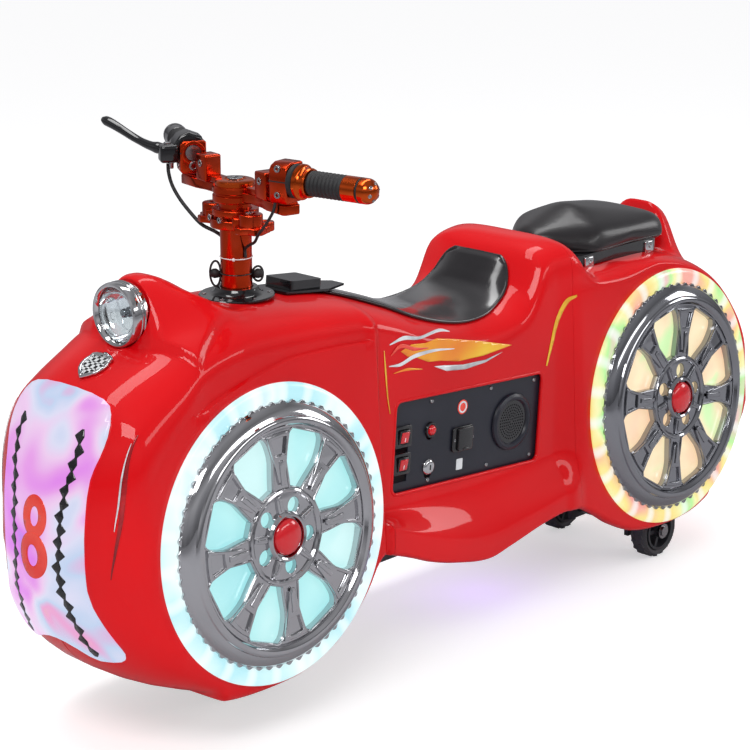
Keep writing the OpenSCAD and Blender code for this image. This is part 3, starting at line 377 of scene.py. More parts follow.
def make_materials(colours, sizes):
    MATERIALS.update({
        "red": gelcoat("gelcoat_red", colours.gelcoat, sizes.peel_mm),
        "cover": plated("plated_cover", "#c8c8cb", 0.07),
        # painted shade: the rear covers get the front covers' plating in a darker colour
        "cover_painted_shade": plated("plated_cover_painted_shade", "#a2a3a8", 0.07),
        "chrome": plated("polished_chrome", "#dcdcde", 0.05, 14),
        "dark_chrome": plated("dark_chrome", "#77787c", 0.08, 18),
        "anodised": anodised("anodised_red", colours.anodised),
        "anodised_bright": anodised("anodised_orange", "#e05a22", 0.16),
        "saddle": vinyl("gloss_vinyl", colours.vinyl, 0.16, 2.0, 0.06, 0.8),
        "seat": vinyl("grained_vinyl", colours.vinyl, 0.32, 2.4, 0.15, 0.18),
        "panel": moulded("grained_panel", colours.panel, 0.34),
        "gloss_black": moulded("gloss_black", "#0f0f12", 0.12, 3.0, 0.02, 0.6),
        "frame": moulded("powder_coat", "#2b2d31", 0.42, 2.5, 0.12),
        "steel": plated("turned_steel", "#a8a8aa", 0.22, 6, 0.05),
        "red_plastic": moulded("red_acrylic", "#c4101c", 0.12, 4.0, 0.02, 0.8),
        "rubber": rubber("grip_rubber", "#1b1b1d"),
        "tyre": rubber("tyre_rubber", "#3a3a3e"),
        "hub": moulded("moulded_hub", "#2b2c31", 0.4),
        "glass": clear_glass("lamp_glass"),
        "lit_nose": lit_acrylic("lit_nose_panel",
            [(0.28, "#a98af0"), (0.38, "#e57cf2"), (0.46, "#f0a4f0"), (0.53, "#f6d4f6"),
                (0.58, "#e2e6fb"), (0.64, "#c4dcf6"), (0.70, "#f2a6d6"), (0.78, "#f4c8a0")], 66, 0.86,
            "#4a3a50"),
        "lit_front": lit_dots("lit_front_ring", [(0.34, "#b2e8f1"), (0.45, "#d4f5f6"), (0.56, "#f0fdfc"),
                (0.68, "#ceebf6")], 26, 0.95, "#606d70"),
        "lit_front_disc": lit_acrylic("lit_front_disc",
            [(0.32, "#98e2e7"), (0.48, "#afeeee"), (0.62, "#cef6f5")], 90, 0.86, "#768486"),
        "lit_rear": lit_dots("lit_rear_ring", [(0.32, "#f49b8f"), (0.42, "#f8e279"), (0.50, "#f5f4a9"),
                (0.58, "#a9f48f"), (0.68, "#f4b3c7")], 26, 0.88, "#79766b"),
        "lit_rear_disc": lit_acrylic("lit_rear_disc",
            [(0.30, "#f7c4a3"), (0.45, "#f8d8ad"), (0.55, "#f7e7ba"), (0.66, "#c7f6ad")], 55, 0.88,
            "#8e867c"),
        "white_film": printed_film("white_film", [(0.4, "#eef0f2"), (0.6, "#d4d8dc")]),
        "black_film": printed_film("black_film", [(0.4, "#0c0c0e"), (0.6, "#1a1a1e")]),
        "red_film": printed_film("red_film", [(0.4, "#e0281e"), (0.6, "#ee4a3a")]),
        "flame_film": printed_film("flame_film", [(0.30, "#e8501c"), (0.5, "#f29a1e"), (0.7, "#f6c62e")],
            0.2, 60),
        "gold_film": printed_film("gold_film", [(0.35, "#e0a020"), (0.6, "#f2c43c")], 0.2, 40),
        # silver print on the flash, also laid as a painted highlight along the crease beside the nose
        "silver_film_and_painted_highlight": printed_film("silver_film_and_painted_highlight", [(0.35, "#a8aab0"), (0.6, "#e4e6ea")], 0.12, 18),
        # painted shade: a dark red film laid beside the nose where the crease is in shade
        "painted_shade_film": printed_film("painted_shade_film", [(0.35, "#7a0810"), (0.6, "#b8101a")]),
        "violet_lens": lit_acrylic("violet_lens",
            [(0.35, "#7a3cf0"), (0.55, "#c040f0"), (0.7, "#5a6cf8")], 30, 5.0, "#30204a"),
        "checker": checker_enamel("checker_enamel"),
    })


# The body's form, in millimetres from the front covers' middle

def step(v, a, b):
    t = np.clip((np.asarray(v, float) - a) / (b - a), 0, 1)
    return t * t * (3 - 2 * t)


def curve(x, keys):
    """Smooth curve through (place, value) keys."""
    k = np.array(keys, float)
    x = np.asarray(x, float)
    i = np.clip(np.searchsorted(k[:, 0], x, side="right") - 1, 0, len(k) - 2)
    slope = np.empty(len(k))
    slope[1:-1] = (k[2:, 1] - k[:-2, 1]) / (k[2:, 0] - k[:-2, 0])
    slope[0] = (k[1, 1] - k[0, 1]) / (k[1, 0] - k[0, 0])
    slope[-1] = (k[-1, 1] - k[-2, 1]) / (k[-1, 0] - k[-2, 0])
    h = k[i + 1, 0] - k[i, 0]
    t = np.clip((x - k[i, 0]) / h, 0, 1)
    return ((2 * t ** 3 - 3 * t ** 2 + 1) * k[i, 1] + (t ** 3 - 2 * t ** 2 + t) * h * slope[i]
            + (3 * t ** 2 - 2 * t ** 3) * k[i + 1, 1] + (t ** 3 - t ** 2) * h * slope[i + 1])


LAMP, LAMP_Z = 139.0, 294.0
FENDER = [(-224, 221), (-175, 225), (-122, 225), (-66, 224), (16, 211), (70, 198), (124, 180)]


def fender_z(x):
    """Edge of the front mudguard, a little below the shoulder."""
    own = curve(np.clip(x, -224, 124), FENDER)
    return np.minimum(np.where((x > 124) | (x < -224), 1e3, own), curve(x, BODY["shoulder"]) - 7)


def waist(x):
    return step(x, TAIL + RING + 4, TAIL + RING + 50) * (1 - step(x, -RING - 14, -RING - 4))


def side_w(x, z):
    """Half width of the body's side at a place and a height."""
    u = np.clip((x - RING) / (NOSE - RING), 0, 1)
    nose = np.maximum(1 - u ** 1.8, 0) ** (1 / 1.6)
    u = np.clip((TAIL - x - RING) / (TAIL_REACH - RING), 0, 1)
    tail = 1 - 0.3 * (1 - np.sqrt(np.maximum(1 - u * u, 0)))
    pod = POD_HALF_W * 1000 - math.tan(COVER_LEAN) * z
    high = 1 - step(z, 196, 236)
    bulge = np.maximum(1 - step(-x, RING + 2, RING + 16), high * (1 - step(x - TAIL, RING + 2, RING + 58)))
    t = np.clip((SHELF_TOP - z) / (SHELF_TOP - curve(x, BODY["crease"])), 0, 1)
    flare = 31 * waist(x) * (0.75 * t * t * (3 - 2 * t) + 0.25 * t)
    chin = 1 - 0.38 * step(x, 165, NOSE) * step(10 - z, 0, 120)
    return nose * tail * chin * (WAIST_W + (pod - WAIST_W) * bulge + flare)


def ledge(x, z):
    """How far the tank's side stands back above the mudguard's edge."""
    up = z - fender_z(x)
    here = step(x, -206, -190) * (1 - step(x, 90, 135))
    return 4.5 * here * step(up, 0, 3) * (1 - step(up, 6, 75))


def hump(x, y):
    """Housing over the headlamp and the lip behind the rear seat."""
    rise = step(x, LAMP - 4, LAMP - 28) * (1 - step(x, LAMP - 28, LAMP - 160))
    w = 50 + 34 * (1 - step(x, LAMP - 150, LAMP - 20))
    lamp = 70 * rise * np.exp(-(np.abs(y) / w) ** 3.2)
    back = -926 - x
    lip = 80 * step(back, 0, 30) * (1 - step(back, 44, 60)) * np.exp(-(np.abs(y) / 60) ** 4)
    return lamp + lip


def wing(x, y):
    """The cowl's raised wings beside the headlamp, highest at their front corners."""
    y = np.abs(y)
    line = 129 - 0.44 * np.maximum(y - 56, 0)
    front = 1 - step(x - line, -3, 4)
    edge = np.interp(x, [-60, 16, 55, 86, 103, 131], [60, 78, 92, 107, 118, 120])
    side = 1 - step(y - edge, -4, 4)
    near = step(x, -60, 80) * step(y, 26, 62)
    return 11 * front * side * near


def top_power(x):
    return 0.8 - 0.32 * step(x, TAIL + 150, TAIL + 200) * (1 - step(x, -580, -552))


def skin_z(x, y):
    """Height of the body's top over the floor plan."""
    zs, zt = curve(x, BODY["shoulder"]), curve(x, BODY["top"])
    w = side_w(x, zs)
    e = top_power(x)
    c = np.clip((np.abs(y) / np.maximum(w, 1e-3)) ** (1 / e), 0, 1)
    return zs + (zt - zs) * np.sqrt(1 - c * c) ** e + hump(x, y) + wing(x, y)


def opening(x):
    closed = np.maximum(step(x, 100, 120), step(TAIL - x, 100, 120))
    zl = curve(x, BODY["bottom"]) + curve(x, BODY["round"])
    return closed + (side_w(x, zl) - 14) * (1 - closed)


def nose_x(y, z):
    """How far forward the nose reaches at a width and height, by bisection."""
    y, z = np.abs(np.asarray(y, float)), np.asarray(z, float)
    low, high = np.full(y.shape, 110.0), np.full(y.shape, NOSE)
    for _ in range(22):
        m = (low + high) / 2
        zb, zs, zt = curve(m, BODY["bottom"]), curve(m, BODY["shoulder"]), curve(m, BODY["top"])
        zl = np.minimum(zb + curve(m, BODY["round"]), zs - 8)
        up = np.clip((z - zs) / np.maximum(zt - zs, 1e-6), 0, 1) ** 1.25
        down = np.clip(1 - (z - zb) / np.maximum(zl - zb, 1e-6), 0, 1) ** 1.25
        limit = np.where(z > zs, side_w(m, zs) * np.sqrt(1 - up * up) ** 0.8,
                         np.where(z > zl, side_w(m, z), side_w(m, zl) * np.sqrt(1 - down * down) ** 0.8))
        inside = (z >= zb) & (z <= zt) & (y <= limit)
        low, high = np.where(inside, m, low), np.where(inside, high, m)
    return low


BELLY_ROWS, SIDE_ROWS, TOP_ROWS = 7, 30, 34


def half_section(x):
    """One side of the body's outline at each station: arrays of half widths and heights."""
    x = x[:, None]
    zb, zs, zt = (curve(x, BODY[k]) for k in ("bottom", "shoulder", "top"))
    zl = np.minimum(zb + curve(x, BODY["round"]), zs - 8)
    e, b, wl, w = top_power(x), opening(x), side_w(x, zl), side_w(x, zs)
    a = np.radians(90 * np.arange(BELLY_ROWS) / BELLY_ROWS)[None, :]
    y1 = b + (wl - b) * np.sin(a) ** 0.8
    z1 = zb + (zl - zb) * (1 - np.cos(a) ** 0.8)
    j = np.arange(SIDE_ROWS)[None, :] / SIDE_ROWS
    zf = fender_z(x)
    pod = np.where(j < 0.8, zl + (zf - zl) * j / 0.8,
        np.where(j < 0.9, zf + 4 * (j - 0.8) / 0.1, zf + 4 + (zs - zf - 4) * (j - 0.9) / 0.1))
    zc = curve(x, BODY["crease"])
    own = np.where(j < 0.14, zl + (zc - zl) * j / 0.14,
        np.where(j < 0.55, zc + (SHELF_TOP - zc) * (j - 0.14) / 0.41,
            SHELF_TOP + (zs - SHELF_TOP) * (j - 0.55) / 0.45))
    z2 = pod + waist(x) * (own - pod)
    y2 = side_w(x, z2) - ledge(x, z2)
    a = np.radians(90 * (np.arange(TOP_ROWS + 1) / TOP_ROWS))[None, :]
    c = np.clip(np.cos(a), 0, 1)
    c[:, -1] = 0
    y3 = w * c ** e
    z3 = zs + (zt - zs) * np.sin(a) ** e
    lift = hump(x, y3) + wing(x, y3)
    y3 = y3 - ledge(x, z3) * y3 / np.maximum(w, 1e-3)
    return np.concatenate([y1, y2, y3], 1), np.concatenate([z1, z2, z3 + lift], 1)


def to_world(x, y, z):
    """Millimetres from the front covers' middle to metres in the frame."""
    return np.stack([FRONT_X + np.asarray(x) * MM, np.asarray(y) * MM, COVER_Z + np.asarray(z) * MM], -1)


def mesh_object(name, points, faces, material, smooth=True):
    """A mesh object; smooth may be True, False or an angle in degrees above which edges stay sharp."""
    mesh = bpy.data.meshes.new(name)
    mesh.from_pydata([tuple(map(float, p)) for p in points], [], faces)
    mesh.update()
    o = bpy.data.objects.new(name, mesh)
    bpy.context.scene.collection.objects.link(o)
    if material:
        mesh.materials.append(MATERIALS[material])
    if smooth is True:
        mesh.shade_smooth()
    elif smooth:
        mesh.set_sharp_from_angle(angle=math.radians(smooth))
        mesh.polygons.foreach_set("use_smooth", [True] * len(mesh.polygons))
    return o


def stations(first, last, count):
    """Places of the body's sections, closer together where its form turns quickly."""
    x = np.linspace(first, last, count * 12)
    dense = (1 + 5 * np.exp(-((x + 211) / 9) ** 2) + 2.0 * np.exp(-((x - 118) / 22) ** 2)
             + 1.2 * np.exp(-((x + 640) / 40) ** 2)
             + 3.0 * np.exp(-((x + 926 + 25) / 40) ** 2) + 1.0 * np.exp(-((x - 60) / 60) ** 2)
             + 9 * np.exp(-((x - NOSE) / 7) ** 2) + 9 * np.exp(-((x - TAIL + TAIL_REACH) / 6) ** 2)
             + 2.5 * np.exp(-((x - 255) / 18) ** 2) + 2.5 * np.exp(-((x - TAIL + 205) / 20) ** 2))
    total = np.concatenate([[0], np.cumsum((dense[1:] + dense[:-1]) / 2)])
    return np.interp(np.linspace(0, total[-1], count), total, x)


def shell_piece(name, first, last, count, thick=5.5):
    """A closed moulding between two stations, open below, with a wall of even thickness."""
    x = stations(first, last, count)
    y, z = half_section(x)
    n, m = len(x), 2 * y.shape[1] - 1
    ys = np.concatenate([y, -y[:, -2::-1]], 1)
    zs = np.concatenate([z, z[:, -2::-1]], 1)
    outer = np.stack([np.repeat(x[:, None], m, 1), ys, zs], -1)
    du = np.gradient(outer, axis=0)
    dv = np.gradient(outer, axis=1)
    out = np.cross(du, dv)
    out /= np.maximum(np.linalg.norm(out, axis=2, keepdims=True), 1e-9)
    if out[n // 2, m // 2, 2] < 0:
        out = -out
    inner = outer - out * thick
    at_nose, at_tail = first > NOSE - 5, last < TAIL - 200
    inner[:, :, 0] = np.clip(inner[:, :, 0], last + thick * at_tail, first - thick * at_nose)
    if not at_nose:
        inner[0, :, 0] = first
    if not at_tail:
        inner[-1, :, 0] = last
    inner[:, :BELLY_ROWS, 1] = np.maximum(inner[:, :BELLY_ROWS, 1], 0.8)
    inner[:, m - BELLY_ROWS:, 1] = np.minimum(inner[:, m - BELLY_ROWS:, 1], -0.8)
    points = np.concatenate([outer.reshape(-1, 3), inner.reshape(-1, 3)])
    o = n * m
    i, j = np.meshgrid(np.arange(n - 1), np.arange(m - 1), indexing="ij")
    a = (i * m + j).ravel()
    faces = np.stack([a, a + 1, a + m + 1, a + m], 1).tolist()
    faces += np.stack([o + a, o + a + m, o + a + m + 1, o + a + 1], 1).tolist()
    for i in range(n - 1):
        p, q = i * m, i * m + m - 1
        faces += [[p, p + m, o + p + m, o + p], [q, o + q, o + q + m, q + m]]
    for i, closed in ((0, at_nose), (n - 1, at_tail)):
        row = list(range(i * m, i * m + m))
        if closed:
            faces += [row[::-1] if i == 0 else row, [o + r for r in (row if i == 0 else row[::-1])]]
            ends = [row[0], o + row[0], o + row[-1], row[-1]]
            faces.append(ends if i == 0 else ends[::-1])
        else:
            for p, q in zip(row[:-1], row[1:]):
                faces.append([p, o + p, o + q, q] if i == 0 else [p, q, o + q, o + p])
    o = mesh_object(name, to_world(*points.T), faces, "red")
    edit(o, lambda b: bmesh.ops.recalc_face_normals(b, faces=b.faces))
    return o


# Shaping helpers

def edit(o, action):
    b = bmesh.new()
    b.from_mesh(o.data)
    action(b)
    b.to_mesh(o.data)
    b.free()
    return o


def bake(o):
    """Applies every modifier of an object."""
    bpy.context.view_layer.update()
    o.data = bpy.data.meshes.new_from_object(o.evaluated_get(bpy.context.evaluated_depsgraph_get()))
    o.modifiers.clear()
    return o


def cut(o, *cutters, how="DIFFERENCE"):
    for c in cutters:
        m = o.modifiers.new("cut", "BOOLEAN")
        m.object, m.operation, m.solver = c, how, "MANIFOLD"
        bake(o)
        bpy.data.objects.remove(c)
    return o


def join(name, *parts):
    """One object from several; their materials and places are kept."""
    base = parts[0]
    b = bmesh.new()
    slots = []
    for o in parts:
        start = len(b.faces)
        mesh = o.data.copy()
        mesh.transform(o.matrix_world)
        if o.matrix_world.determinant() < 0:
            mesh.flip_normals()
        offset = []
        for m in mesh.materials:
            if m not in slots:
                slots.append(m)
            offset.append(slots.index(m))
        b.from_mesh(mesh)
        b.faces.ensure_lookup_table()
        for f in b.faces[start:]:
            f.material_index = offset[f.material_index] if offset else 0
    mesh = bpy.data.meshes.new(name)
    b.to_mesh(mesh)
    b.free()
    for m in slots:
        mesh.materials.append(m)
    for o in parts[1:]:
        bpy.data.objects.remove(o)
    base.data, base.name, base.matrix_world = mesh, name, Matrix()
    return base


def lathe(name, profile, material, n=96, place=None, smooth=35):
    """A solid of revolution about z from (radius, height) points in millimetres, or a closed ring."""
    ring = list(profile)
    closed = ring[0] == ring[-1]
    if closed:
        ring = ring[:-1]
    pts, faces, rows = [], [], []
    for r, h in ring:
        if r < 1e-6:
            rows.append([len(pts)] * n)
            pts.append((0, 0, h * MM))
        else:
            rows.append(list(range(len(pts), len(pts) + n)))
            pts += [(r * MM * math.cos(math.tau * k / n), r * MM * math.sin(math.tau * k / n), h * MM)
                for k in range(n)]
    pairs = list(zip(rows[:-1], rows[1:])) + ([(rows[-1], rows[0])] if closed else [])
    for low, high in pairs:
        for k in range(n):
            f = [low[k], low[(k + 1) % n], high[(k + 1) % n], high[k]]
            f = [v for p, v in enumerate(f) if v not in f[:p]]
            if len(f) > 2:
                faces.append(f)
    o = mesh_object(name, pts, faces, material, smooth)
    edit(o, lambda b: bmesh.ops.recalc_face_normals(b, faces=b.faces))
    if place is not None:
        o.matrix_world = place
    return o


def tube(name, path, r, material, n=12, closed=False):
    """A round bar along a path in metres, r in millimetres, with flat ends."""
    p = np.array(path, float)
    k = len(p)
    d = np.roll(p, -1, 0) - np.roll(p, 1, 0) if closed else np.gradient(p, axis=0)
    d /= np.linalg.norm(d, axis=1, keepdims=True)
    side = np.cross(d[0], (0.21, 0.33, 0.92))
    pts = []
    rs = np.broadcast_to(np.asarray(r, float), (k,)) * MM
    for q, t, rad in zip(p, d, rs):
        side = side - t * side.dot(t)
        side /= np.linalg.norm(side)
        other = np.cross(t, side)
        pts += [q + rad * (math.cos(math.tau * j / n) * side + math.sin(math.tau * j / n) * other)
            for j in range(n)]
    faces = [[i * n + j, i * n + (j + 1) % n, (i + 1) % k * n + (j + 1) % n, (i + 1) % k * n + j]
             for i in range(k if closed else k - 1) for j in range(n)]
    if not closed:
        faces += [list(range(n))[::-1], [(k - 1) * n + j for j in range(n)]]
    return mesh_object(name, pts, faces, material, 50)


def outline(name, loops, extrude_mm, material, bevel_mm=0.0, resolution=2, place=None):
    """A flat plate from closed 2D loops in millimetres, inner loops are holes, with rounded edges."""
    c = bpy.data.curves.new(name, "CURVE")
    c.dimensions, c.fill_mode = "2D", "BOTH"
    c.extrude = max(extrude_mm / 2 - bevel_mm, 0) * MM
    c.bevel_depth, c.bevel_resolution = bevel_mm * MM, resolution
    c.offset = -bevel_mm * MM
    for loop in loops:
        s = c.splines.new("POLY")
        s.points.add(len(loop) - 1)
        for p, q in zip(s.points, loop):
            p.co = (q[0] * MM, q[1] * MM, 0, 1)
        s.use_cyclic_u = True
    o = bpy.data.objects.new(name, c)
    bpy.context.scene.collection.objects.link(o)
    bpy.context.view_layer.update()
    mesh = bpy.data.meshes.new_from_object(o.evaluated_get(bpy.context.evaluated_depsgraph_get()))
    bpy.data.objects.remove(o)
    mesh.materials.clear()
    mesh.materials.append(MATERIALS[material])
    out = bpy.data.objects.new(name, mesh)
    bpy.context.scene.collection.objects.link(out)
    edit(out, lambda b: bmesh.ops.remove_doubles(b, verts=b.verts, dist=2e-6))
    mesh.set_sharp_from_angle(angle=math.radians(40))
    mesh.polygons.foreach_set("use_smooth", [True] * len(mesh.polygons))
    if place is not None:
        out.matrix_world = place
    return out


def draped(name, loops, surface, material, lift_mm=0.4, thick_mm=0.3, grid_mm=7.0):
    """A thin sheet cut to 2D loops in millimetres and laid on a curved surface.

    surface maps arrays of the sheet's two coordinates to points on the body and their outward normals."""
    o = outline(name, loops, 0.0, material)

    def split(b):
        flat = [v.co.copy() for v in b.verts]
        for axis in (0, 1):
            low, high = min(c[axis] for c in flat), max(c[axis] for c in flat)
            for g in np.arange(math.ceil(low / (grid_mm * MM)), high / (grid_mm * MM)):
                co = Vector((0, 0, 0))
                co[axis] = g * grid_mm * MM
                no = Vector((0, 0, 0))
                no[axis] = 1
                bmesh.ops.bisect_plane(b, geom=b.verts[:] + b.edges[:] + b.faces[:], dist=1e-7,
                    plane_co=co, plane_no=no)
        bmesh.ops.triangulate(b, faces=b.faces)
    edit(o, split)
    mesh = o.data
    flat = np.array([v.co[:2] for v in mesh.vertices]) / MM
    n = len(flat)
    on, out = surface(flat[:, 0], flat[:, 1])
    thick = thick_mm(flat[:, 0], flat[:, 1])[:, None] if callable(thick_mm) else thick_mm
    low = to_world(*(on + out * lift_mm).T)
    high = to_world(*(on + out * (lift_mm + thick)).T)
    tris = [list(p.vertices) for p in mesh.polygons]
    count = {}
    for t in tris:
        for a, c in zip(t, t[1:] + t[:1]):
            count[(a, c)] = count.get((a, c), 0) + 1
    rim = [[a, c, c + n, a + n] for a, c in count if (c, a) not in count]
    faces = [[v + n for v in t] for t in tris] + [t[::-1] for t in tris] + rim
    bpy.data.objects.remove(o)
    new = mesh_object(name, np.concatenate([low, high]), faces, material)
    return edit(new, lambda b: bmesh.ops.recalc_face_normals(b, faces=b.faces))


def with_normals(place, along=True, step_mm=1.5):
    """Makes a surface for draped() from a function that gives points, measuring its normals."""
    def surface(a, b):
        p = place(a, b)
        n = np.cross(place(a + step_mm, b) - place(a - step_mm, b),
            place(a, b + step_mm) - place(a, b - step_mm))
        n /= np.maximum(np.linalg.norm(n, axis=1, keepdims=True), 1e-9)
        outward = p * np.array([0.2, 1, 0.2]) if along else p * np.array([0, 0.1, 1])
        n *= np.where((n * outward).sum(1) < 0, -1, 1)[:, None]
        return p, n
    return surface


def on_side(side):
    """The body's side as a surface over (x, height)."""
    return with_normals(lambda x, z: np.stack([x, side * (side_w(x, z) - ledge(x, z)), z], 1))


def on_top():
    return with_normals(lambda x, y: np.stack([x, y, skin_z(x, y)], 1), False)


def on_nose():
    return with_normals(lambda y, z: np.stack([nose_x(y, z), y, z], 1))


def rounded_box(l, h, r, n=6, at=(0, 0), turn=0.0):
    """Loop of a rounded rectangle centred on a point."""
    pts = []
    for sx, sy, start in ((1, 1, 0), (-1, 1, 90), (-1, -1, 180), (1, -1, 270)):
        for k in range(n + 1):
            a = math.radians(start + 90 * k / n)
            pts.append((sx * (l / 2 - r) + r * math.cos(a), sy * (h / 2 - r) + r * math.sin(a)))
    c, s = math.cos(math.radians(turn)), math.sin(math.radians(turn))
    return [(at[0] + c * x - s * y, at[1] + s * x + c * y) for x, y in pts]


def circle(r, n=64, at=(0, 0), wide=1.0):
    return [(at[0] + r * wide * math.cos(math.tau * k / n), at[1] + r * math.sin(math.tau * k / n))
        for k in range(n)]


def block(name, size, place, material=None, bevel_mm=0.0):
    """A box of the given size in millimetres, its edges rounded."""
    o = mesh_object(name, [(x * size[0] * MM / 2, y * size[1] * MM / 2, z * size[2] * MM / 2)
            for x in (-1, 1) for y in (-1, 1) for z in (-1, 1)],
        [[0, 1, 3, 2], [4, 6, 7, 5], [0, 4, 5, 1], [2, 3, 7, 6], [0, 2, 6, 4], [1, 5, 7, 3]], material,
        False)
    if bevel_mm:
        edit(o, lambda b: bmesh.ops.bevel(b, geom=b.edges[:], offset=bevel_mm * MM, segments=3,
                affect="EDGES", profile=0.5))
        o.data.set_sharp_from_angle(angle=math.radians(50))
        o.data.polygons.foreach_set("use_smooth", [True] * len(o.data.polygons))
    o.matrix_world = place
    return o


def dress(node_name, key):
    """A CAD node that is shown as it is gets its surface."""
    o = NODES[node_name]
    o.data.materials.clear()
    o.data.materials.append(MATERIALS[key])
    return o


# Operators, one for each piece or group of like pieces

class RIDE_OT_surfaces(Operator):
    """Makes the surfaces of every material in the ride"""
    bl_idname = "ride.surfaces"
    bl_label = "Make surfaces"

    def execute(self, context):
        make_materials(context.scene.ride_colours, context.scene.ride_sizes)
        return {"FINISHED"}


PANEL_X, PANEL_Y, PANEL_Z, PANEL_TILT = -408.0, 113.7, 39.0, 4.2
FRONT_JOINT, REAR_JOINT = -219.0, -630.0


def at_panel(side):
    """Frame of a side panel: x along the panel, y up, z out of the body."""
    turn = turned(180 if side > 0 else 0, "Z") @ turned(90, "X")
    tilt = turned(-PANEL_TILT, "Y")
    place = Vector((FRONT_X + PANEL_X * MM, side * PANEL_Y * MM, COVER_Z + PANEL_Z * MM))
    return Matrix.Translation(place) @ tilt @ turn


def at_lamp():
    """Frame of the headlamp: z out of its front."""
    return Matrix.Translation((FRONT_X + LAMP * MM, 0, COVER_Z + LAMP_Z * MM)) @ turned(90, "Y")


class RIDE_OT_shell(Operator):
    """Builds the three mouldings of the body with their cowl, mudguard edge, footboards and panel windows"""
    bl_idname = "ride.shell"
    bl_label = "Build the body shell"

    def execute(self, context):
        count = context.scene.ride_sizes.stations
        front = shell_piece("body_front_moulding", NOSE - 0.1, FRONT_JOINT, round(count * 0.46))
        top = COVER_Z + float(curve(-72, BODY["top"])) * MM
        hole = lathe("column_cut", [(0, -40), (24, -40), (24, 40), (0, 40)], None, 64,
            Matrix.Translation((COLUMN_X, 0, top)))
        seat = lathe("flange_cut", [(0, 0.2), (51.5, 0.2), (51.5, 20), (0, 20)], None, 64,
            Matrix.Translation((COLUMN_X, 0, top)))
        bore = lathe("lamp_cut", [(0, -26.4), (42.6, -26.4), (42.6, 60), (0, 60)], None, 64, at_lamp())
        cut(front, hole, seat, bore)
        middle = shell_piece("body_waist_moulding", FRONT_JOINT - 0.4, REAR_JOINT, round(count * 0.3))
        windows = [outline("window_cut", [rounded_box(318, 134, 12)], 90, "red", 0, 2, at_panel(s))
            for s in (1, -1)]
        cut(middle, *windows)
        for side in (1, -1):
            flat = at_panel(side)
            pts = []
            for u, v in rounded_box(318.5, 134.5, 12, 8):
                p = flat @ Vector((u * MM, v * MM, 0))
                x, z = (p.x - FRONT_X) / MM, (p.z - COVER_Z) / MM
                pts.append((p.x, side * (float(side_w(np.array(x), np.array(z))) - 1.6) * MM, p.z))
            lip = tube("window_lip", pts, 2.9, "red", 14, closed=True)
            middle = join("body_waist_moulding", middle, lip)
        rear = shell_piece("body_tail_moulding", REAR_JOINT - 0.4, TAIL - TAIL_REACH + 0.1,
            round(count * 0.36))
        for o, part in ((front, "front_shell"), (middle, "middle_shell"), (rear, "rear_shell")):
            o.data.set_sharp_from_angle(angle=math.radians(50))
            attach(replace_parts(o, part), "chassis")
        return {"FINISHED"}


PETAL = [(0, 8.4), (0.06, 9.6), (0.25, 12.5), (0.5, 15.2), (0.8, 14.2), (0.93, 12.6), (1, 10.2)]
WINDOW_IN, WINDOW_OUT, WINDOW_TURN = 67.0, 141.0, 24.2


def at_cover(x, side):
    """Frame of a side cover: x along the body, y down, z out of its side."""
    turn = turned(0 if side > 0 else 180, "Z")
    lean = Matrix.Rotation(COVER_LEAN, 4, "X") @ turned(-90, "X")
    return Matrix.Translation((x, side * POD_HALF_W, COVER_Z)) @ turn @ lean


def polar(r, degrees):
    a = math.radians(degrees)
    return r * math.cos(a), r * math.sin(a)


def petal(middle, grow=0.0):
    """Loop of one window, grown outwards by some millimetres."""
    t = np.array([0, 0.04, 0.12, 0.22, 0.34, 0.46, 0.58, 0.7, 0.8, 0.88, 0.94, 0.98, 1])
    r = WINDOW_IN - grow + (WINDOW_OUT - WINDOW_IN + 2 * grow) * t
    a = curve(t, PETAL) + np.degrees(grow / r)
    there = [polar(q, middle + b) for q, b in zip(r, a)]
    return there + [polar(q, middle - b) for q, b in zip(r[::-1], a[::-1])]


def wedge(middle, r0, r1, a0, a1, n=5):
    """Loop of a piece of a ring that widens outwards."""
    t = np.linspace(0, 1, n)
    return ([polar(r0 + (r1 - r0) * q, middle + a0 + (a1 - a0) * q) for q in t]
            + [polar(r1, middle + a1 - 2 * a1 * q) for q in t[1:-1]]
            + [polar(r0 + (r1 - r0) * q, middle - a0 - (a1 - a0) * q) for q in t[::-1]])


def lift(h, x=0.0, y=0.0):
    """A shift up by some millimetres, and along x and y."""
    return Matrix.Translation((x * MM, y * MM, h * MM))


def turned(degrees, axis):
    """A turn about one axis."""
    return Matrix.Rotation(math.radians(degrees), 4, axis)


def hoop(place, r, z, n):
    """Points of a circle in a frame: radius in millimetres, height in metres."""
    return [tuple(place @ Vector((r * MM * math.cos(t), r * MM * math.sin(t), z)))
            for t in np.linspace(0, math.tau, n, endpoint=False)]


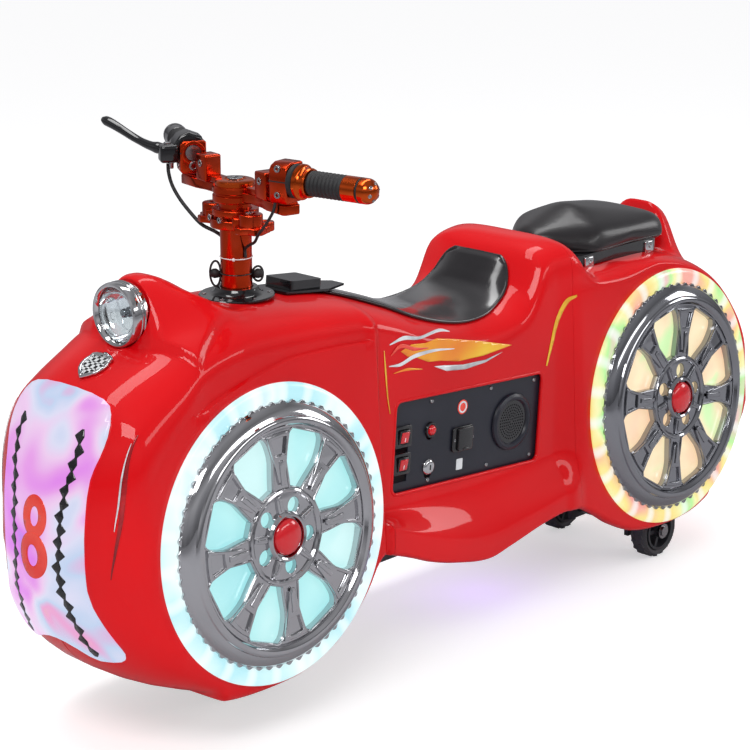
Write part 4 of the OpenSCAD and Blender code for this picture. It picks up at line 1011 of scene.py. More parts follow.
def make_cover(name, turn, mirrored, waves, material):
    """A plated side cover: wavy edge, conical rim, eight spokes round petal windows and a ribbed hub."""
    def mirror(a):
        return 180 - a if mirrored else a

    middles = [mirror(turn + WINDOW_TURN + 45 * k) for k in range(8)]
    parts = [outline("web", [circle(147, 128)] + [petal(a) for a in middles] + [circle(57, 64)], 11,
            material, 1.7, 3, lift(13.6))]
    parts.append(lathe("rim", [(141.5, 6.5), (142, 17), (143.4, 20.5), (145.5, 20.9), (146.6, 22.6),
                (149, 25.2), (152, 26), (155, 25.4), (157.5, 23.6), (158.5, 21.4), (160.6, 20.6),
                (165, 18.8), (170, 15), (173.5, 11), (175.3, 8), (174, 6.5), (141.5, 6.5)], material, 144,
            None, 28))
    wave = [polar(175.6 + 2.4 * math.cos(math.radians(waves * t)), t)
        for t in np.arange(0, 360, 360 / (8 * waves))]
    parts.append(outline("wavy_edge", [wave, circle(150, 96)], 4.2, material, 0.9, 2, lift(8.8)))
    for a in middles:
        parts.append(tube("bead", [(x * MM, y * MM, 0.0192) for x, y in petal(a, 2.0)], 1.5, material, 8,
                True))
    for k in range(8):
        a = middles[k] + 22.5
        parts.append(outline("spoke_step", [wedge(a, 74, 139, 4.6, 8.6), wedge(a, 110, 133, 4.7, 6.2)],
                4.4, material, 1.3, 2, lift(20.4)))
        parts.append(outline("spoke_ridge", [wedge(a, 70, 103, 2.4, 2.0)], 4, material, 1.3, 2, lift(22.6)))
    holes = [mirror(turn + 28 + 72 * k) for k in range(5)]
    rings = []
    for a in holes:
        (x, y), (c, s) = polar(42, a), polar(1, a)
        rings.append([(x + 10.6 * math.cos(t) * c - 9.8 * math.sin(t) * s,
                       y + 10.6 * math.cos(t) * s + 9.8 * math.sin(t) * c)
                      for t in np.linspace(0, math.tau, 28, endpoint=False)])
    parts.append(outline("hub_plate", [circle(60, 96)] + rings, 9, material, 1.6, 3, lift(13.8)))
    parts.append(lathe("hub_ring", [(57, 6.5), (57, 19), (58.6, 21.4), (61, 22.4), (63.4, 21.4),
                (65, 18.6), (65, 12), (61, 6.5), (57, 6.5)], material, 96, None, 30))
    for k in range(5):
        a = holes[k] + 36
        parts.append(outline("hub_rib", [wedge(a, 31, 57, 9.5, 3.4)], 4.6, material, 1.5, 2, lift(19.6)))
        parts.append(outline("hub_groove", [wedge(a, 36, 52, 2.4, 1.4)], 2.4, material, 0.8, 2, lift(22.0)))
    parts.append(lathe("collar", [(26, 14), (26, 22), (27.2, 25.2), (29.4, 26.4), (31.6, 25.6),
                (33.6, 22.6), (34, 14), (26, 14)], material, 72, None, 30))
    return join(name, *parts)


class RIDE_OT_covers(Operator):
    """Builds the four plated side covers, the lit discs behind them and their caps"""
    bl_idname = "ride.covers"
    bl_label = "Build the side covers"

    def execute(self, context):
        waves = context.scene.ride_sizes.waves
        # The rear covers take the darker copy of the plating, which paints shade onto them
        for end, x, turn, metal in (("front", FRONT_X, 0, "cover"), ("rear", REAR_X, -56, "cover_painted_shade")):
            for label, side in (("left", 1), ("right", -1)):
                place = at_cover(x, side)
                cover = make_cover(f"plated_cover_{end}_{label}", turn, side < 0, waves, metal)
                ring = lathe("ring", [(172, 0.5), (198.4, 0.5), (199.6, 2.4), (199, 5), (196, 7.2),
                        (191, 8.4), (185, 8.6), (180, 7.8), (176, 6.1), (172, 6.1), (172, 0.5)],
                    f"lit_{end}", 128, None, 60)
                disc = lathe("disc", [(0, 0.5), (171.6, 0.5), (171.6, 6), (0, 6)], f"lit_{end}_disc", 96)
                lit = join(f"lit_disc_{end}_{label}", ring, disc)
                cap = lathe(f"red_cap_{end}_{label}",
                    [(0, 19.6), (24.2, 19.6), (24.4, 22), (23.4, 24.6), (21, 26.8), (16, 28.8), (9, 30.2),
                        (3, 30.6), (0, 30.6)], "red_plastic", 64, None, 60)
                for o, node_name in ((cover, "side_cover"), (lit, "light_disc"), (cap, "cap")):
                    o.matrix_world = place
                    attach(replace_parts(o, f"{node_name}_{end}_{label}"), "chassis")
        return {"FINISHED"}


LIT_EDGE = [(0, 217), (16, 217), (43, 215), (63, 211), (74, 206), (81, 198), (86, 187), (88.4, 174),
    (88, 162), (86, 150), (82, 136), (79, 122), (77.4, 100), (77, 75), (76, 45), (76, 15), (77, -22),
    (82, -44), (89, -62), (97, -84), (102, -101), (103, -109), (100.6, -116), (94, -120.6), (82, -123.5),
    (64, -125.5), (50, -122), (34, -114), (16, -108.4), (0, -107)]
STRIPE = [(178, 56), (142, 56), (105, 49), (75, 45), (31, 43), (-3, 41), (-38, 47), (-74, 53), (-118, 62)]


def lozenges(side):
    """Loop of a chain of black diamonds down the lit panel."""
    z = np.arange(178, -118.5, -1.6)
    middle = curve(-z, [(-a, b) for a, b in STRIPE])
    p = ((178 - z) / 16.5) % 1
    half = 1.6 + 5.8 * (1 - np.abs(2 * p - 1))
    jog = 2.6 * np.where((np.floor((178 - z) / 16.5) % 2) > 0, 1, -1) * (1 - np.abs(2 * p - 1))
    down = [(side * (m + j + h), q) for m, j, h, q in zip(middle, jog, half, z)]
    up = [(side * (m + j - h), q) for m, j, h, q in zip(middle[::-1], jog[::-1], half[::-1], z[::-1])]
    return down + up


class RIDE_OT_nose(Operator):
    """Builds the lit nose panel with its diamond stripes and plain numeral, and the shield above it"""
    bl_idname = "ride.nose"
    bl_label = "Build the nose panel"

    def execute(self, context):
        surface = on_nose()
        edge = LIT_EDGE + [(-y, z) for y, z in LIT_EDGE[-2:0:-1]]
        parts = [draped("lit_sheet", [edge], surface, "lit_nose", 0.7, 3.0)]
        for side in (1, -1):
            parts.append(draped("stripe", [lozenges(side)], surface, "black_film", 3.8, 0.35))
        for z0, rx, ry, w, up in ((62, 22.5, 27.5, 15.0, 3.8), (12, 25.5, 30, 16.2, 3.95)):
            loops = [[(a * math.cos(t), z0 + b * math.sin(t)) for t in np.linspace(0, math.tau, n,
                             endpoint=False)]
                     for a, b, n in ((rx, ry, 48), (rx - w, ry - w, 32))]
            parts.append(draped("numeral", loops, surface, "red_film", up, 0.35))
        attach(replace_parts(join("lit_nose_panel", *parts), "nose_light_panel"), "chassis")
        # Shield: plated frame round a checkered field
        x0, y0 = 181.0, 6.0
        shape = [(-20, -13), (-23, 0), (-20, 13), (-17, 19), (-11, 19), (-6, 21), (2, 20.5), (10, 16),
            (17, 8), (22, 0)]
        loop = shape + [(x, -y) for x, y in shape[-2:2:-1]]
        field = [(x * 0.82, y * 0.8) for x, y in loop]
        top = on_top()
        parts = [draped("shield_frame",
                     [[(x0 + x, y0 + y) for x, y in loop], [(x0 + x, y0 + y) for x, y in field]], top,
                     "chrome", 0.5, 4.2, 9.0),
                 draped("shield_field", [[(x0 + x, y0 + y) for x, y in field]], top, "checker", 0.5, 2.6,
                     9.0)]
        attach(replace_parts(join("nose_shield_badge", *parts), "nose_shield"), "chassis")
        return {"FINISHED"}


class RIDE_OT_headlamp(Operator):
    """Builds the round headlamp: drum, rim, reflector, bulb and fluted glass"""
    bl_idname = "ride.headlamp"
    bl_label = "Build the headlamp"

    def execute(self, context):
        place = at_lamp()
        drum = lathe("drum", [(0, -26), (37, -26), (40, -24), (41.6, -20), (42, -6), (42.4, -1.5),
                (41.6, 1.6), (39.4, 3), (36.8, 2.2), (35, 0), (34, -3), (31, -10), (24, -17), (14, -21.4),
                (7, -22.6), (0, -22.6)], "chrome", 96, None, 32)
        bands = [tube("band", [(r * MM * math.cos(t), r * MM * math.sin(t), h * MM)
                         for t in np.linspace(0, math.tau, 72, endpoint=False)], 0.9, "chrome", 8, True)
                 for r, h in ((41.9, -10), (41.9, -15), (29.5, -12.6), (21.5, -18.6))]
        bulb = lathe("bulb", [(0, -22), (6, -22), (6, -17), (4.4, -16), (5.6, -12), (4.6, -8.6),
                (2.4, -7), (0, -6.6)], "dark_chrome", 32, None, 60)
        body = join("headlamp_drum", drum, *bands, bulb)
        body.matrix_world = place
        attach(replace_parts(body, "headlamp_housing"), "chassis")
        rings = [(0, 1.2)]
        for k in range(1, 12):
            r = 35 * k / 12
            rings += [(r - 0.5, 1.2 - 0.0031 * r * r), (r, 0.8 - 0.0031 * r * r)]
        rings += [(34.2, -2.6), (33.4, -4.2), (20, -1.6), (8, -0.9), (0, -0.8)]
        glass = lathe("headlamp_glass", rings, "glass", 96, place, 70)
        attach(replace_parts(glass, "headlamp_lens"), "chassis")
        return {"FINISHED"}


# Half outline of the saddle as (place, width), and the bolster roll across its back end
BOLSTER_X, BOLSTER_W, BOLSTER_H = -545, 13, 5.5
SADDLE = [(-563, 44), (-559, 56), (-552, 65), (-540, 71), (-520, 75), (-470, 84), (-380, 84), (-300, 76),
    (-245, 52), (-212, 18)]


class RIDE_OT_saddle(Operator):
    """Builds the glossy saddle sheet with its rolled edge on the dip behind the tank"""
    bl_idname = "ride.saddle"
    bl_label = "Build the saddle"

    def execute(self, context):
        def thickness(u, v):
            inside = np.clip(1 - (v / np.maximum(curve(u, SADDLE), 1)) ** 4, 0, 1)
            return 3.4 + inside * (1.8 + BOLSTER_H * np.exp(-((u - BOLSTER_X) / BOLSTER_W) ** 2))

        x = np.concatenate([np.linspace(-563, BOLSTER_X, 10), np.linspace(-543, -212, 54)])
        y = curve(x, SADDLE)
        loop = list(zip(x, y)) + list(zip(x[::-1], -y[::-1]))
        top = on_top()
        sheet = draped("saddle_sheet", [loop], top, "saddle", 0.9, thickness, 6.0)
        p, n = top(np.array([q[0] for q in loop]), np.array([q[1] for q in loop]))
        edge = tube("rolled_edge", to_world(*(p + n * 2.9).T), 2.7, "saddle", 10, True)
        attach(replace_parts(join("saddle_sheet", sheet, edge), "saddle_panel"), "chassis")
        return {"FINISHED"}


def steered():
    """Frame of everything that turns with the handlebar, at its parked angle."""
    return Matrix.Translation((COLUMN_X, 0, 0)) @ Matrix.Rotation(PARKED_TURN, 4, "Z")


def at_bar(side):
    """Frame of one handlebar: z outwards along the grip, x forward, y down."""
    flip = Matrix.Scale(-1, 4, (0, 1, 0)) if side < 0 else Matrix()
    turn = turned(20, "Z") @ turned(-90, "X")
    return steered() @ flip @ Matrix.Translation((-0.004, 0.118, BAR_Z)) @ turn


def bolt(name, r, h, place, material="steel"):
    """A socket-head bolt: knurled head with a hexagonal hole."""
    hexagon = [polar(r * 0.5, 60 * k) for k in range(6)]
    knurl = [polar(r * (1 if k % 2 else 0.94), 7.5 * k) for k in range(48)]
    return outline(name, [knurl, hexagon], h, material, min(0.5, h * 0.2), 2, place)


GRIP_END = (250 - 118) / math.cos(math.radians(20))


class RIDE_OT_bars(Operator):
    """Builds the clamps, arms, posts, grips and drilled ends of the handlebar"""
    bl_idname = "ride.bars"
    bl_label = "Build the handlebar"

    def execute(self, context):
        ribs = context.scene.ride_sizes.grip_ribs
        hub = steered()
        parts = [outline("plate", [circle(33.6, 72), circle(21.4, 64)], 12, "anodised", 1.6, 3,
                     hub @ lift(666.4)),
                 outline("plate_top", [circle(31, 72), circle(21.4, 64)], 9, "anodised", 1.4, 3,
                     hub @ lift(680.8))]
        for k in (-1, 1):
            parts.append(outline("arm", [rounded_box(25, 50, 7, 5, (-9, k * 30), k * 8)], 11.4,
                    "anodised", 1.5, 3, hub @ lift(666.2)))
            parts.append(outline("lobe", [circle(16, 48, (5, k * 46)), circle(5.4, 24, (5, k * 46))], 25,
                    "anodised", 1.8, 3, hub @ lift(673)))
            wing = [(-16, 20), (-21, 44), (-16, 60), (-8, 64), (-3, 60), (-6, 66), (4, 72), (14, 68),
                (17, 58), (26, 54), (28, 44), (22, 34), (16, 20)]
            parts.append(outline("wing", [[(x, k * y) for x, y in wing], circle(5, 24, (-13, k * 50))], 9,
                    "anodised", 1.6, 3, hub @ lift(664.6)))
            parts.append(outline("step", [rounded_box(17, 22, 4, 4, (14, k * 30), k * -30)], 14,
                    "anodised", 1.4, 3, hub @ lift(672)))
            parts.append(outline("lobe_low",
                    [circle(11.5, 40, (-17, k * 47)), circle(4, 24, (-17, k * 47))], 12.4, "anodised",
                    1.5, 3, hub @ lift(667)))
            parts.append(bolt("lobe_bolt", 4.8, 5, hub @ lift(684, 4, k * 41)))
            parts.append(bolt("pinch_bolt", 4.2, 5, hub @ Matrix.Translation((0.031, k * 0.012, 0.6735))
                    @ turned(90, "Y")))
        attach(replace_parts(join("lower_clamp_plates", *parts), "lower_clamp"), "handlebar")
        parts = [lathe("hub", [(21.5, 694.4), (29, 694.4), (30, 696), (30, 703), (28.2, 704.4),
                         (28.2, 706), (30, 707.4), (30, 713.6), (28.6, 715.6), (21.5, 715.6),
                         (21.5, 694.4)], "anodised", 96, hub, 30),
                 lathe("cap", [(0, 713), (26.4, 713), (26.4, 720.6), (25, 722.6), (22, 723.6),
                         (15, 723.6), (14, 722.4), (12.6, 721.8), (0, 721.8)], "anodised_bright", 96, hub,
                     30),
                 bolt("top_bolt", 10.6, 5, hub @ lift(723.4))]
        for k in (-1, 1):
            side = [(-19, 18), (-24, 44), (-20, 74), (-19, 126), (-16, 130), (5, 130), (8, 126), (8, 88),
                (4, 70), (3, 44), (9, 22)]
            hole = [(-12.5, 42), (-14, 50), (-13, 66), (-10.5, 80), (-6, 82), (-3, 76), (-4.4, 62),
                (-5, 48), (-7, 41)]
            parts.append(outline("yoke_arm",
                    [[(x, k * y) for x, y in side], [(x, k * y) for x, y in hole]], 13, "anodised", 1.8,
                    3, hub @ lift(703.4)))
            parts.append(outline("yoke_rib",
                    [[(x, k * y) for x, y in ((-18, 88), (-18, 124), (4, 124), (4, 90), (-6, 84))]], 5,
                    "anodised", 1.3, 2, hub @ lift(709.4)))
            parts.append(bolt("arm_bolt", 5, 4, hub @ lift(697.4, -6, k * 108)))
            post = hub @ lift(727, -4, k * 74)
            parts.append(block("inner_post", (25, 26, 36), post, "anodised", 2.6))
            parts.append(bolt("inner_bolt", 5, 3.4, post @ Matrix.Translation((0.0122, 0, 0.006))
                    @ turned(90, "Y")))
            parts.append(outline("inner_rib", [rounded_box(20, 36, 6, 4, (-6, k * 46))], 8, "anodised",
                    1.4, 2, hub @ lift(714)))
        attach(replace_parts(join("upper_clamp_yoke", *parts), "upper_clamp"), "handlebar")
        parts, tubes, rubber_parts, ends = [], [], [], []
        for side in (-1, 1):
            f = at_bar(side)
            far = side < 0
            ring = [(-18, -14), (-15, -16), (13, -16), (17, -12), (18, -8), (18, 24), (15, 28), (-14, 28),
                (-18, 24)] if far else [(-18, -22), (-14.5, -23.8), (6, -23.8), (14.5, -20), (18, -15),
                (18, 24), (15, 28), (-14, 28), (-18, 24)]
            parts.append(outline("post", [ring, circle(11.2, 48)], 27.6, "anodised", 2.0, 3, f))
            parts.append(outline("cheek", [circle(16.5, 56), circle(11.2, 48)], 30.4, "anodised", 1.4, 3, f))
            # painted shade: a thin black block stands in for the dark gap where each post is split
            parts.append(block("painted_shade_gap", (5.5, 1.6, 27.9), f @ lift(0, 15.6, 0), "gloss_black"))
            for y in (17,) if far else (-16.5, 17):
                parts.append(bolt("post_bolt", 4.6, 4, f @ Matrix.Translation((0.0178, y * MM, 0))
                        @ turned(90, "Y")))
            parts.append(bolt("side_bolt", 6.6, 3.4, f @ lift(-14.6, 0, 17.5)))
            tubes.append(lathe("bar", [(0, -14), (10.4, -14), (11, -13.4), (11, GRIP_END - 20.6),
                        (10.4, GRIP_END - 20), (0, GRIP_END - 20)], "steel", 48, f, 30))
            pitch = (GRIP_END - 46 - 41) / ribs
            profile = [(11.1, 41), (15.2, 41)]
            for k in range(ribs):
                z = 41 + k * pitch
                profile += [(15.2, z + 0.4), (16.2, z + 0.26 * pitch), (16.6, z + 0.5 * pitch),
                    (16.2, z + 0.74 * pitch), (15.2, z + pitch - 0.4)]
            profile += [(15.2, GRIP_END - 46), (11.1, GRIP_END - 46), (11.1, 41)]
            rubber_parts.append(lathe("ribs", profile, "rubber", 72, f, 50))
            rubber_parts.append(lathe("gaiter",
                    [(11.1, 14), (20.6, 14), (22, 15.4), (22, 20.6), (20.6, 22), (11.1, 22), (11.1, 14)],
                    "rubber", 72, f, 30))
            e = GRIP_END
            bright = "gloss_black" if far else "anodised_bright"
            ends.append(lathe("flange", [(11.2, 23), (21.6, 23), (23, 24.6), (23, 28), (21.8, 29.6),
                        (20, 30.4), (18.6, 33), (18.4, 36), (19.2, 38.6), (18.4, 41), (11.2, 41),
                        (11.2, 23)], bright, 96, f, 30))
            dome = [(16.5 * math.cos(a), e - 14 + 14 * math.sin(a)) for a in np.linspace(0, math.pi / 2, 10)]
            ends.append(lathe("end", [(11.2, e - 46), (15.8, e - 46), (16.5, e - 45), (16.5, e - 24),
                        (15.2, e - 23.2), (15.2, e - 20.8), (16.5, e - 20)] + dome[:-1] + [(0, e),
                        (0, e - 18.8), (11.2, e - 18.8), (11.2, e - 46)], bright, 72, f, 30))
            rubber_parts.append(tube("ring", hoop(f, 15.2, (e - 22) * MM, 48), 1.5, "rubber", 10, True))
            for t in range(6):
                a = math.radians(60 * t + 20)
                p = Vector((10.6 * math.cos(a), 10.6 * math.sin(a),
                        e - 14 + 14 * math.sqrt(1 - (10.6 / 16.5) ** 2)))
                out = Vector((p.x / 16.5 ** 2, p.y / 16.5 ** 2, (p.z - e + 14) / 14 ** 2)).normalized()
                turn = out.to_track_quat("Z", "Y").to_matrix().to_4x4()
                ends.append(lathe("dimple", [(0, -0.8), (2.2, -0.8), (2.6, 0.2), (1.9, 0.6), (1.2, 0.1),
                            (0, -0.1)], "steel", 20, f @ Matrix.Translation(p * MM) @ turn, 30))
        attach(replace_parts(join("bar_posts", *parts), "bar_blocks"), "handlebar")
        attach(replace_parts(join("bar_cores", *tubes), "bar_tubes"), "handlebar")
        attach(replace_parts(join("ribbed_grips", *rubber_parts), "grips"), "handlebar")
        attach(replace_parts(join("drilled_ends", *ends), "grip_ends"), "handlebar")
        # Brake perch with its clamp ring and the cast lever
        f = at_bar(-1)
        perch = [block("perch", (25, 24, 25), f @ lift(0, 31.4, 1), "gloss_black", 4),
                 outline("shroud",
                     [[(-14, -20), (4, -27), (16, -22), (26, -10), (26, 12), (12, 20), (-8, 22),
                             (-18, 12), (-20, -6)], circle(12, 32)], 34, "gloss_black", 4, 4,
                     f @ lift(12)),
                 lathe("clamp_ring", [(11.4, -9), (16.6, -9), (18, -7.4), (18, 7.4), (16.6, 9), (11.4, 9),
                         (11.4, -9)], "gloss_black", 48, f @ lift(24, 0, 0), 30),
                 lathe("adjuster", [(0, 0), (4.6, 0), (5, 1), (5, 7), (3.4, 8), (3.4, 15), (0, 15)],
                     "steel", 28, f @ Matrix.Translation((0.027, 0.008, 0.004)) @ turned(-80, "X"), 30),
                 bolt("pivot", 5, 3, f @ Matrix.Translation((0.032, -0.0118, 0.004)) @ turned(90, "X"))]
        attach(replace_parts(join("brake_perch", *perch), "lever_perch"), "handlebar")
        keys = np.array([[38, -2, 19.4], [45, -3, 26], [52, -4.4, 34], [61, -8, 45], [70.5, -13, 57],
                [80, -19, 67.5], [89.5, -25, 77.6], [98, -29.6, 87], [105, -32, 95.6]])
        t = np.linspace(0, len(keys) - 1, 40)
        path = np.stack([np.interp(t, range(len(keys)), keys[:, k]) for k in range(3)], 1)
        for _ in range(6):
            path[1:-1] = (path[:-2] + 2 * path[1:-1] + path[2:]) / 4
        r = np.interp(t, [0, 0.6, 1.4, 3, 5, 7, 7.5, 8], [7.6, 8.2, 6.6, 5.4, 5.8, 6.8, 6.6, 3.6])
        blade = tube("blade", [tuple(f @ Vector(p * MM)) for p in path], r, "gloss_black", 16)
        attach(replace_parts(join("cast_brake_lever", blade), "brake_lever"), "handlebar")
        return {"FINISHED"}


class RIDE_OT_column(Operator):
    """Builds the steering column with its white band, the flange's screws and the cable loop"""
    bl_idname = "ride.column"
    bl_label = "Build the column"

    def execute(self, context):
        hub = steered()
        post = lathe("post", [(17, 236.4), (21, 236.4), (21, 700), (20.4, 712), (17, 712), (17, 236.4)],
            "anodised", 96, hub, 30)
        band = tube("band", hoop(hub, 21.5, 0.6195, 64), 0.7, "white_film", 8, True)
        knot = lathe("knot", [(0, -2.2), (1.6, -1.8), (2.4, 0), (1.6, 1.8), (0, 2.2)], "white_film", 20,
            hub @ Matrix.Translation((0.0145, 0.0168, 0.6195)), 60)
        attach(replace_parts(join("column_tube", post, band, knot), "steering_column"), "handlebar")
        z = (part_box("column_flange")[1][2] - COVER_Z) / MM
        top = float(curve(COLUMN_STATION, BODY["top"]))
        collar = lathe("collar", [(21.9, top + 0.5), (50.6, top + 0.5), (50.8, top + 2.4),
                (49.6, top + 3.6), (38, top + 4.2), (34, top + 5), (30.4, top + 8), (29, z - 2.2),
                (27.6, z), (22.4, z), (21.9, z - 0.6), (21.9, top + 0.5)], "gloss_black", 96,
            Matrix.Translation((COLUMN_X, 0, COVER_Z)), 30)
        screws = [bolt("screw", 2.8, 2.2,
                Matrix.Translation((COLUMN_X + 0.0435 * math.cos(a), 0.0435 * math.sin(a),
                        COVER_Z + (top + 4.2) * MM))) for a in np.radians([20, 80, 140, 200, 260, 320])]
        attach(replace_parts(join("column_collar", collar, *screws), "column_flange"), "chassis")
        # Tie round the column with the conical end of the loop
        tie = tube("tie", hoop(hub, 21.9, 0.598, 64), 0.8, "gloss_black", 8, True)
        parts = []
        for turn, tall in ((-35, 17), (145, 10)):
            f = hub @ turned(turn, "Z") @ Matrix.Translation((0.028, 0, 0.596))
            parts.append(tube("loop",
                    [tuple(f @ Vector((7 * MM * math.cos(t), 2 * MM * math.sin(2 * t),
                                    tall * MM * math.sin(t)))) for t in np.linspace(0, math.tau, 48,
                            endpoint=False)], 1.5, "rubber", 10, True))
            parts.append(lathe("cone", [(0, -7), (3, -6.6), (6.2, -2), (6.6, 2), (4.4, 6), (1.6, 7.2),
                        (0, 7.4)], "rubber", 32, f @ turned(65, "Y"), 60))
        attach(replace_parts(join("column_tie", tie, *parts), "column_loop"), "handlebar")
        return {"FINISHED"}


class RIDE_OT_controls(Operator):
    """Builds the switches, screws, socket flap and loudspeaker grille on the side panels"""
    bl_idname = "ride.controls"
    bl_label = "Build the controls"

    def execute(self, context):
        f = at_panel(1)
        parts = []
        for y in (14, -25):
            parts.append(outline("bezel",
                    [rounded_box(34, 31, 3, 4, (-137, y)), rounded_box(21, 21, 1.5, 4, (-137, y))], 3.6,
                    "gloss_black", 0.9, 2, f @ lift(2)))
            tilt = f @ Matrix.Translation((-0.137, y * MM, 0.0032)) @ turned(9, "X")
            parts.append(block("rocker", (20, 20, 6), tilt, "gloss_black", 1.5))
            parts.append(block("lens", (15, 16, 2), tilt @ lift(3.2), "red_plastic", 0.9))
            parts.append(block("mark", (1.2, 6, 0.5), tilt @ lift(4.3, 0, -3), "white_film", 0.2))
        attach(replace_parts(join("rocker_keys", *parts), "rocker_switches"), "chassis")
        push = [lathe("ring", [(7.4, -2), (7.4, 3), (8.4, 4), (10.6, 4), (11.4, 2.6), (11.4, 0.3),
                        (7.4, -2)], "gloss_black", 48, f @ lift(0, -79, 15), 30),
                lathe("dome", [(0, -8), (7, -8), (7, 5), (5.6, 7), (3, 8), (0, 8.4)], "red_plastic", 48,
                    f @ lift(0, -79, 15), 60)]
        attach(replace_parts(join("red_push_button", *push), "push_button"), "chassis")
        key = [lathe("barrel", [(0, -10), (7.6, -10), (7.6, 0.3), (11, 0.3), (11.4, 1.6), (10, 3.6),
                       (7.6, 4.8), (5, 5), (0, 5)], "chrome", 48, f @ lift(0, -79, -39), 30),
               # painted shade: a thin black plate stands in for the dark of the key slot
               outline("painted_shade_key_slot", [rounded_box(1.8, 7.6, 0.8, 3, (-79, -39))], 1.2, "gloss_black", 0, 0,
                   f @ lift(5.0))]
        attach(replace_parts(join("key_barrel", *key), "key_switch"), "chassis")
        flap = [outline("base", [rounded_box(44, 36, 5, 5, (-10, -8))], 3, "gloss_black", 0.9, 2,
                    f @ lift(1.9)),
                outline("lid", [rounded_box(31, 34, 4, 5, (-8, -8))], 5, "gloss_black", 1.5, 3,
                    f @ lift(5.2)),
                outline("grip", [rounded_box(12, 3, 1.2, 3, (-8, -22))], 3, "gloss_black", 0.8, 2,
                    f @ lift(7.6)),
                bolt("ear", 2.4, 1.6, f @ lift(4, -29, -8)), bolt("ear", 2.4, 1.6, f @ lift(4, 9.6, -8))]
        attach(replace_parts(join("socket_flap", *flap), "charge_socket"), "chassis")
        # Loudspeaker: raised ring and a domed grille with rows of holes
        ring = lathe("ring", [(31, 0.3), (41.6, 0.3), (42.4, 1.4), (41.4, 4), (37.6, 6), (34, 5.6),
                (32, 3.6), (31, 0.3)], "panel", 96, f @ lift(0, 98, 0), 30)
        holes = [circle(1.25, 8, polar(4.2 * k, 360 / (6 * k) * j)) for k in range(1, 7)
            for j in range(6 * k)]
        grille = outline("grille", [circle(32.4, 72)] + holes, 1.6, "gloss_black", 0, 0, f @ lift(1.4, 98, 0))
        back = lathe("back", [(0, -6), (30, -6), (30, -1.6), (0, -2.4)], "panel", 64, f @ lift(0, 98, 0), 30)
        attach(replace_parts(join("speaker_grille", ring, grille, back), "loudspeaker"), "chassis")
        for side, spots in ((1, [(-79, 56), (-79, -58), (48, 57), (48, -57), (145, 56), (145, -57)]),
                (-1, [(-145, 57), (-145, -57), (0, 57), (0, -57), (145, 57), (145, -57)])):
            f = at_panel(side)
            screws = [lathe("screw", [(0, 0.2), (3, 0.2), (3.2, 0.9), (2.6, 1.7), (1.2, 2.0), (0, 2.0)],
                    "steel", 24, f @ lift(0, x, y), 40) for x, y in spots]
            if side > 0:
                screws.append(outline("round_sign", [circle(10.5, 48, (-12, 38))], 0.6, "red_film", 0, 0,
                        f @ lift(0.5)))
                screws.append(outline("sign_ring",
                        [circle(8.6, 48, (-12, 38)), circle(6.2, 48, (-12, 38))], 0.5, "white_film", 0, 0,
                        f @ lift(1.0)))
                screws.append(outline("blank_sign", [rounded_box(13, 16, 1, 3, (-12, -46))], 0.6,
                        "white_film", 0, 0, f @ lift(0.5)))
            else:
                screws.append(outline("cover_rim",
                        [rounded_box(296, 112, 9, 6), rounded_box(286, 102, 7, 6)], 2.4, "panel", 0.8, 2,
                        f @ lift(1.0)))
            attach(join("panel_trim_" + ("left" if side > 0 else "right"), *screws), "chassis")
        return {"FINISHED"}


